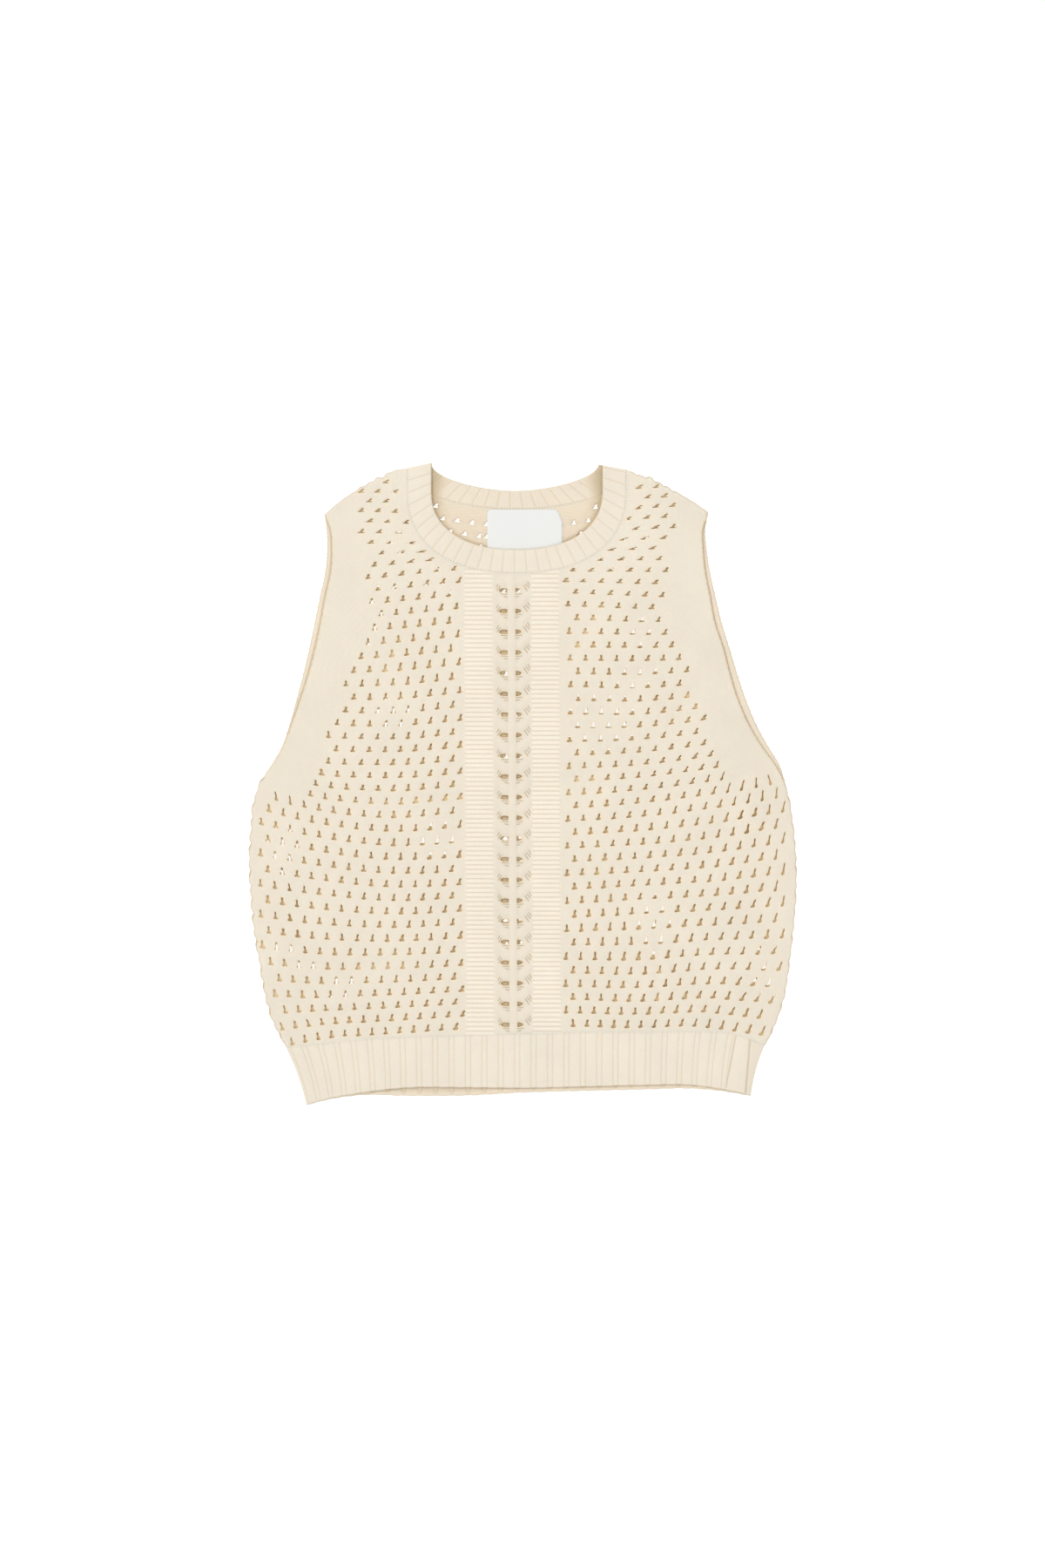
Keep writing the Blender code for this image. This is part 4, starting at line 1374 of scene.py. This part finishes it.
def new_group(name, inputs, outputs):
    tree = bpy.data.node_groups.new(name, "ShaderNodeTree")
    for way, sockets in (("INPUT", inputs), ("OUTPUT", outputs)):
        for label_text, kind, value in sockets:
            socket = tree.interface.new_socket(label_text, in_out=way, socket_type=kind)
            if value is not None:
                socket.default_value = value
    return tree, add(tree, "NodeGroupInput"), add(tree, "NodeGroupOutput")


def knit_group():
    """Height of plain knit: a column of V-shaped stitches for each unit across, a course for each unit up."""
    tree, start, end = new_group(
        "plain_knit",
        [("Stitches", "NodeSocketVector", None), ("Lean", "NodeSocketFloat", 0.55)],
        [("Height", "NodeSocketFloat", None)],
    )
    split = add(tree, "ShaderNodeSeparateXYZ")
    feed(tree, split.inputs[0], start.outputs["Stitches"])
    across = maths(tree, "FRACT", split.outputs[0])
    from_middle = maths(tree, "MULTIPLY", maths(tree, "ABSOLUTE", maths(tree, "SUBTRACT", across, 0.5)), 2)
    leg = maths(tree, "SINE", maths(tree, "MULTIPLY", from_middle, pi))
    leg = maths(tree, "POWER", maths(tree, "MAXIMUM", leg, 0), 0.6)
    lean = maths(tree, "MULTIPLY", from_middle, start.outputs["Lean"])
    up = maths(tree, "FRACT", maths(tree, "SUBTRACT", split.outputs[1], lean))
    course = maths(tree, "SINE", maths(tree, "MULTIPLY", up, pi))
    course = maths(tree, "POWER", maths(tree, "MAXIMUM", course, 0), 0.5)
    course = maths(tree, "ADD", maths(tree, "MULTIPLY", course, 0.55), 0.45)
    feed(tree, end.inputs["Height"], maths(tree, "MULTIPLY", leg, course))
    return tree


def purl_group():
    """Height of purl knit: beads in rows, with a sharp zigzag groove between two rows for each unit up."""
    tree, start, end = new_group(
        "purl_knit",
        [("Stitches", "NodeSocketVector", None)],
        [("Height", "NodeSocketFloat", None)],
    )
    split = add(tree, "ShaderNodeSeparateXYZ")
    feed(tree, split.inputs[0], start.outputs["Stitches"])
    wave = maths(tree, "SINE", maths(tree, "MULTIPLY", split.outputs[0], 2 * pi))
    up = maths(tree, "ADD", split.outputs[1], maths(tree, "MULTIPLY", wave, 0.09))
    ridge = maths(tree, "ABSOLUTE", maths(tree, "COSINE", maths(tree, "MULTIPLY", up, pi)))
    ridge = maths(tree, "MULTIPLY", ridge, 2.2, clamp=True)
    bead = maths(tree, "ABSOLUTE", maths(tree, "SINE", maths(tree, "MULTIPLY", split.outputs[0], pi)))
    height = maths(tree, "ADD", maths(tree, "MULTIPLY", ridge, 0.85), maths(tree, "MULTIPLY", bead, 0.15))
    feed(tree, end.inputs["Height"], height)
    return tree


def yarn_group():
    """Colour of the yarn: its own tone, drawn towards a warm painted shade in hollows and a darker painted
    shade in grooves and along lines, with fine and broad mottling.
    """
    tree, start, end = new_group(
        "yarn_colour",
        [
            ("Yarn", "NodeSocketColor", (0.8, 0.7, 0.6, 1)),
            ("Hollow_shade", "NodeSocketColor", (0.8, 0.6, 0.4, 1)),
            ("Line", "NodeSocketColor", (0.6, 0.45, 0.25, 1)),
            ("Height", "NodeSocketFloat", 1.0),
            ("Groove_shade", "NodeSocketFloat", 0.2),
            ("Mottle", "NodeSocketFloat", 0.05),
        ],
        [("Colour", "NodeSocketColor", None), ("Fuzz", "NodeSocketFloat", None)],
    )
    place = add(tree, "ShaderNodeTexCoord")
    fine, broad = add(tree, "ShaderNodeTexNoise"), add(tree, "ShaderNodeTexNoise")
    for noise, scale, detail in ((fine, 900, 2), (broad, 22, 3)):
        feed(tree, noise.inputs["Vector"], place.outputs["Object"])
        set_values(noise, {"Scale": scale, "Detail": detail})
    hollow_shade = add(tree, "ShaderNodeAttribute", attribute_name="hollow_shade")
    line = add(tree, "ShaderNodeAttribute", attribute_name="line")
    # painted shade: the stitches' low places, as much as groove says, and the line attribute draw the colour
    # towards the darker shade tone
    low = maths(tree, "SUBTRACT", 1.0, start.outputs["Height"], clamp=True)
    lines = maths(tree, "MULTIPLY", low, start.outputs["Groove_shade"])
    lines = maths(tree, "ADD", lines, line.outputs["Fac"], clamp=True)
    both = maths(tree, "ADD", fine.outputs["Fac"], broad.outputs["Fac"])
    spread = maths(tree, "MULTIPLY", maths(tree, "SUBTRACT", both, 1.0), start.outputs["Mottle"])
    # painted shade: the hollow attribute draws the yarn's tone towards the warm shade tone
    ground = mixed(tree, hollow_shade.outputs["Fac"], start.outputs["Yarn"], start.outputs["Hollow_shade"])
    value = add(tree, "ShaderNodeHueSaturation")
    feed(tree, value.inputs["Color"], mixed(tree, lines, ground, start.outputs["Line"]))
    feed(tree, value.inputs["Value"], maths(tree, "ADD", spread, 1.0))
    feed(tree, end.inputs["Colour"], value.outputs["Color"])
    feed(tree, end.inputs["Fuzz"], fine.outputs["Fac"])
    return tree


# the yarn's own tone, a warm painted shade for hollows and hole rims, and a darker painted shade for grooves,
# lines and outlines
YARN = (0.842, 0.766, 0.648)
HOLLOW_SHADE = (0.93, 0.75, 0.47)
LINE_SHADE = (0.55, 0.445, 0.295)
MOTTLE = 0.1
TAPE_LOW = (0.72, 0.72, 0.70, 1)
TAPE_HIGH = (0.77, 0.77, 0.75, 1)


def new_finish(name):
    """A new material, its nodes and its shader."""
    made = bpy.data.materials.new(name)
    made.use_nodes = True
    return made, made.node_tree, made.node_tree.nodes["Principled BSDF"]


def add_bump(tree, shader, height, strength, depth):
    bump = add(tree, "ShaderNodeBump")
    set_values(bump, {"Strength": strength, "Distance": depth * MM})
    feed(tree, bump.inputs["Height"], height)
    feed(tree, shader.inputs["Normal"], bump.outputs["Normal"])


def knit_finish(name, groups, pattern, groove, depth):
    """Matte cotton knit: groove is the share of painted shade in the low places between the stitches, and
    depth is their relief.
    """
    made, tree, shader = new_finish(name)
    place = add(tree, "ShaderNodeUVMap", uv_map="stitches")
    stitch = add(tree, "ShaderNodeGroup", node_tree=groups[pattern])
    feed(tree, stitch.inputs["Stitches"], place.outputs[0])
    colour = add(tree, "ShaderNodeGroup", node_tree=groups["yarn"])
    set_values(colour, {"Yarn": (*YARN, 1), "Hollow_shade": (*HOLLOW_SHADE, 1), "Line": (*LINE_SHADE, 1)})
    set_values(colour, {"Groove_shade": groove, "Mottle": MOTTLE})
    feed(tree, colour.inputs["Height"], stitch.outputs["Height"])
    fuzz = maths(tree, "MULTIPLY", colour.outputs["Fuzz"], 0.35)
    add_bump(tree, shader, maths(tree, "ADD", stitch.outputs["Height"], fuzz), 0.7, depth)
    feed(tree, shader.inputs["Base Color"], colour.outputs["Colour"])
    set_values(shader, {"Roughness": 0.92, "Specular IOR Level": 0.2})
    set_values(shader, {"Sheen Weight": 0.08, "Sheen Roughness": 0.5})
    set_values(shader, {"Subsurface Weight": 0.3, "Subsurface Radius": (1.0, 0.8, 0.55)})
    set_values(shader, {"Subsurface Scale": 0.0025})
    return made


def tape_finish(name):
    """The label's smooth woven tape: fine threads across and up."""
    made, tree, shader = new_finish(name)
    place = add(tree, "ShaderNodeUVMap", uv_map="stitches")
    split = add(tree, "ShaderNodeSeparateXYZ")
    feed(tree, split.inputs[0], place.outputs[0])
    waves = [maths(tree, "SINE", maths(tree, "MULTIPLY", split.outputs[k], 2 * pi)) for k in (0, 1)]
    weave = maths(tree, "MULTIPLY", *waves)
    add_bump(tree, shader, weave, 0.3, 0.05)
    share = maths(tree, "ADD", maths(tree, "MULTIPLY", weave, 0.5), 0.5)
    feed(tree, shader.inputs["Base Color"], mixed(tree, share, TAPE_LOW, TAPE_HIGH))
    set_values(shader, {"Roughness": 0.6})
    return made


def floor_finish():
    """A plain pale surface that glows: painted light that keeps it white beside and under the garment, where
    the garment would shade it, and that lights the garment from below.
    """
    made, _, shader = new_finish("pale_floor")
    set_values(shader, {"Base Color": (0.3, 0.3, 0.3, 1), "Roughness": 0.9, "Specular IOR Level": 0.0})
    # the glow is painted light, with no lamp there
    set_values(shader, {"Emission Color": (1, 1, 1, 1), "Emission Strength": 0.84})
    return made


# ---------------------------------------------------------------- stage
FLOOR_HALF = 12.0  # metres
FLOOR_LOW = -0.0004
CAMERA_PLACE = (-0.0003, 0.0001, 3.315)


def make_floor():
    half, low = FLOOR_HALF, FLOOR_LOW
    corners = [(-half, -half, low), (half, -half, low), (half, half, low), (-half, half, low)]
    mesh = bpy.data.meshes.new("floor")
    mesh.from_pydata(corners, [], [(0, 1, 2, 3)])
    mesh.materials.append(floor_finish())
    floor = bpy.data.objects.new("floor", mesh)
    bpy.context.scene.collection.objects.link(floor)
    return floor


def add_light(name, place, size, power):
    """A square lamp that points at the middle of the garment."""
    data = bpy.data.lights.new(name, "AREA")
    data.energy = power
    data.size = size
    lamp = bpy.data.objects.new(name, data)
    lamp.location = place
    lamp.rotation_euler = (-Vector(place)).to_track_quat("-Z", "Y").to_euler()
    bpy.context.scene.collection.objects.link(lamp)


def light_and_camera():
    scene = bpy.context.scene
    scene.world = bpy.data.worlds.new("studio")
    scene.world.use_nodes = True
    set_values(scene.world.node_tree.nodes["Background"], {"Color": (1, 1, 1, 1), "Strength": 0.72})
    add_light("key", (-3.6, 3.2, 4.6), 2.4, 190)
    add_light("fill", (3.4, -2.2, 4.4), 3.0, 80)
    data = bpy.data.cameras.new("overhead")
    data.lens = 85
    data.sensor_width = 36
    camera = bpy.data.objects.new("overhead", data)
    camera.location = CAMERA_PLACE
    scene.collection.objects.link(camera)
    scene.camera = camera
    scene.view_settings.view_transform = "Standard"


# ---------------------------------------------------------------- the scene
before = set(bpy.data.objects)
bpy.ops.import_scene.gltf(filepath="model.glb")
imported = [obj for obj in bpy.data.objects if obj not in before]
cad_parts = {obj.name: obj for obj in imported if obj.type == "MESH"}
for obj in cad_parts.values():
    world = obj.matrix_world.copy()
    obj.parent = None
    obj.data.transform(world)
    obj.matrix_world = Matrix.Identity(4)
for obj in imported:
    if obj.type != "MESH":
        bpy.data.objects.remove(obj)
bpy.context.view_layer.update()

draw = np.random.default_rng(5642)
groups = {"knit": knit_group(), "purl": purl_group(), "yarn": yarn_group()}
finishes = {
    "knit": knit_finish("net_knit", groups, "knit", 0.16, 0.36),
    "purl": knit_finish("purl_knit", groups, "purl", 0.6, 0.45),
    "inside": knit_finish("net_knit_inside", groups, "purl", 0.3, 0.3),
    "rib": knit_finish("rib_knit", groups, "knit", 0.12, 0.3),
    "rib_inside": knit_finish("rib_knit_inside", groups, "knit", 0.14, 0.3),
    "tape": tape_finish("label_tape"),
}
front, front_area = front_panel(finishes, draw)
back, back_area = back_panel(finishes, draw)
hem_front = hem_band("hem_front_rib", "front", finishes["rib"])
hem_back = hem_band("hem_back_rib", "back", finishes["rib_inside"])
neck_front = neck_band("neck_front_rib", NECK_INSIDE, NECK_SEAM, True, finishes["rib"])
neck_back = neck_band("neck_back_rib", BACK_NECK_TOP, BACK_NECK_SEAM, False, finishes["rib_inside"])
tag = label(finishes["tape"])

floor = make_floor()

Worn = namedtuple("Worn", "piece node slot width length area rests_on")
for worn in (
    Worn(back, "back", "cream_knit_inside", 0.49, 0.525, back_area, ["floor"]),
    Worn(front, "front", "cream_knit", 0.49, 0.525, front_area, ["back_knit"]),
    Worn(hem_back, "hem_back", "cream_rib_inside", 0.43, 0.055, None, ["floor"]),
    Worn(hem_front, "hem_front", "cream_rib", 0.43, 0.055, None, ["hem_back_rib"]),
    Worn(neck_back, "neckband_back", "cream_rib_inside", 0.19, 0.025, None, ["floor"]),
    Worn(neck_front, "neckband_front", "cream_rib", 0.26, 0.025, None, ["back_knit"]),
    Worn(tag, "label", "label_tape", 0.067, 0.039, None, ["back_knit"]),
):
    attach(worn.piece, "root")
    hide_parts(worn.node)

light_and_camera()
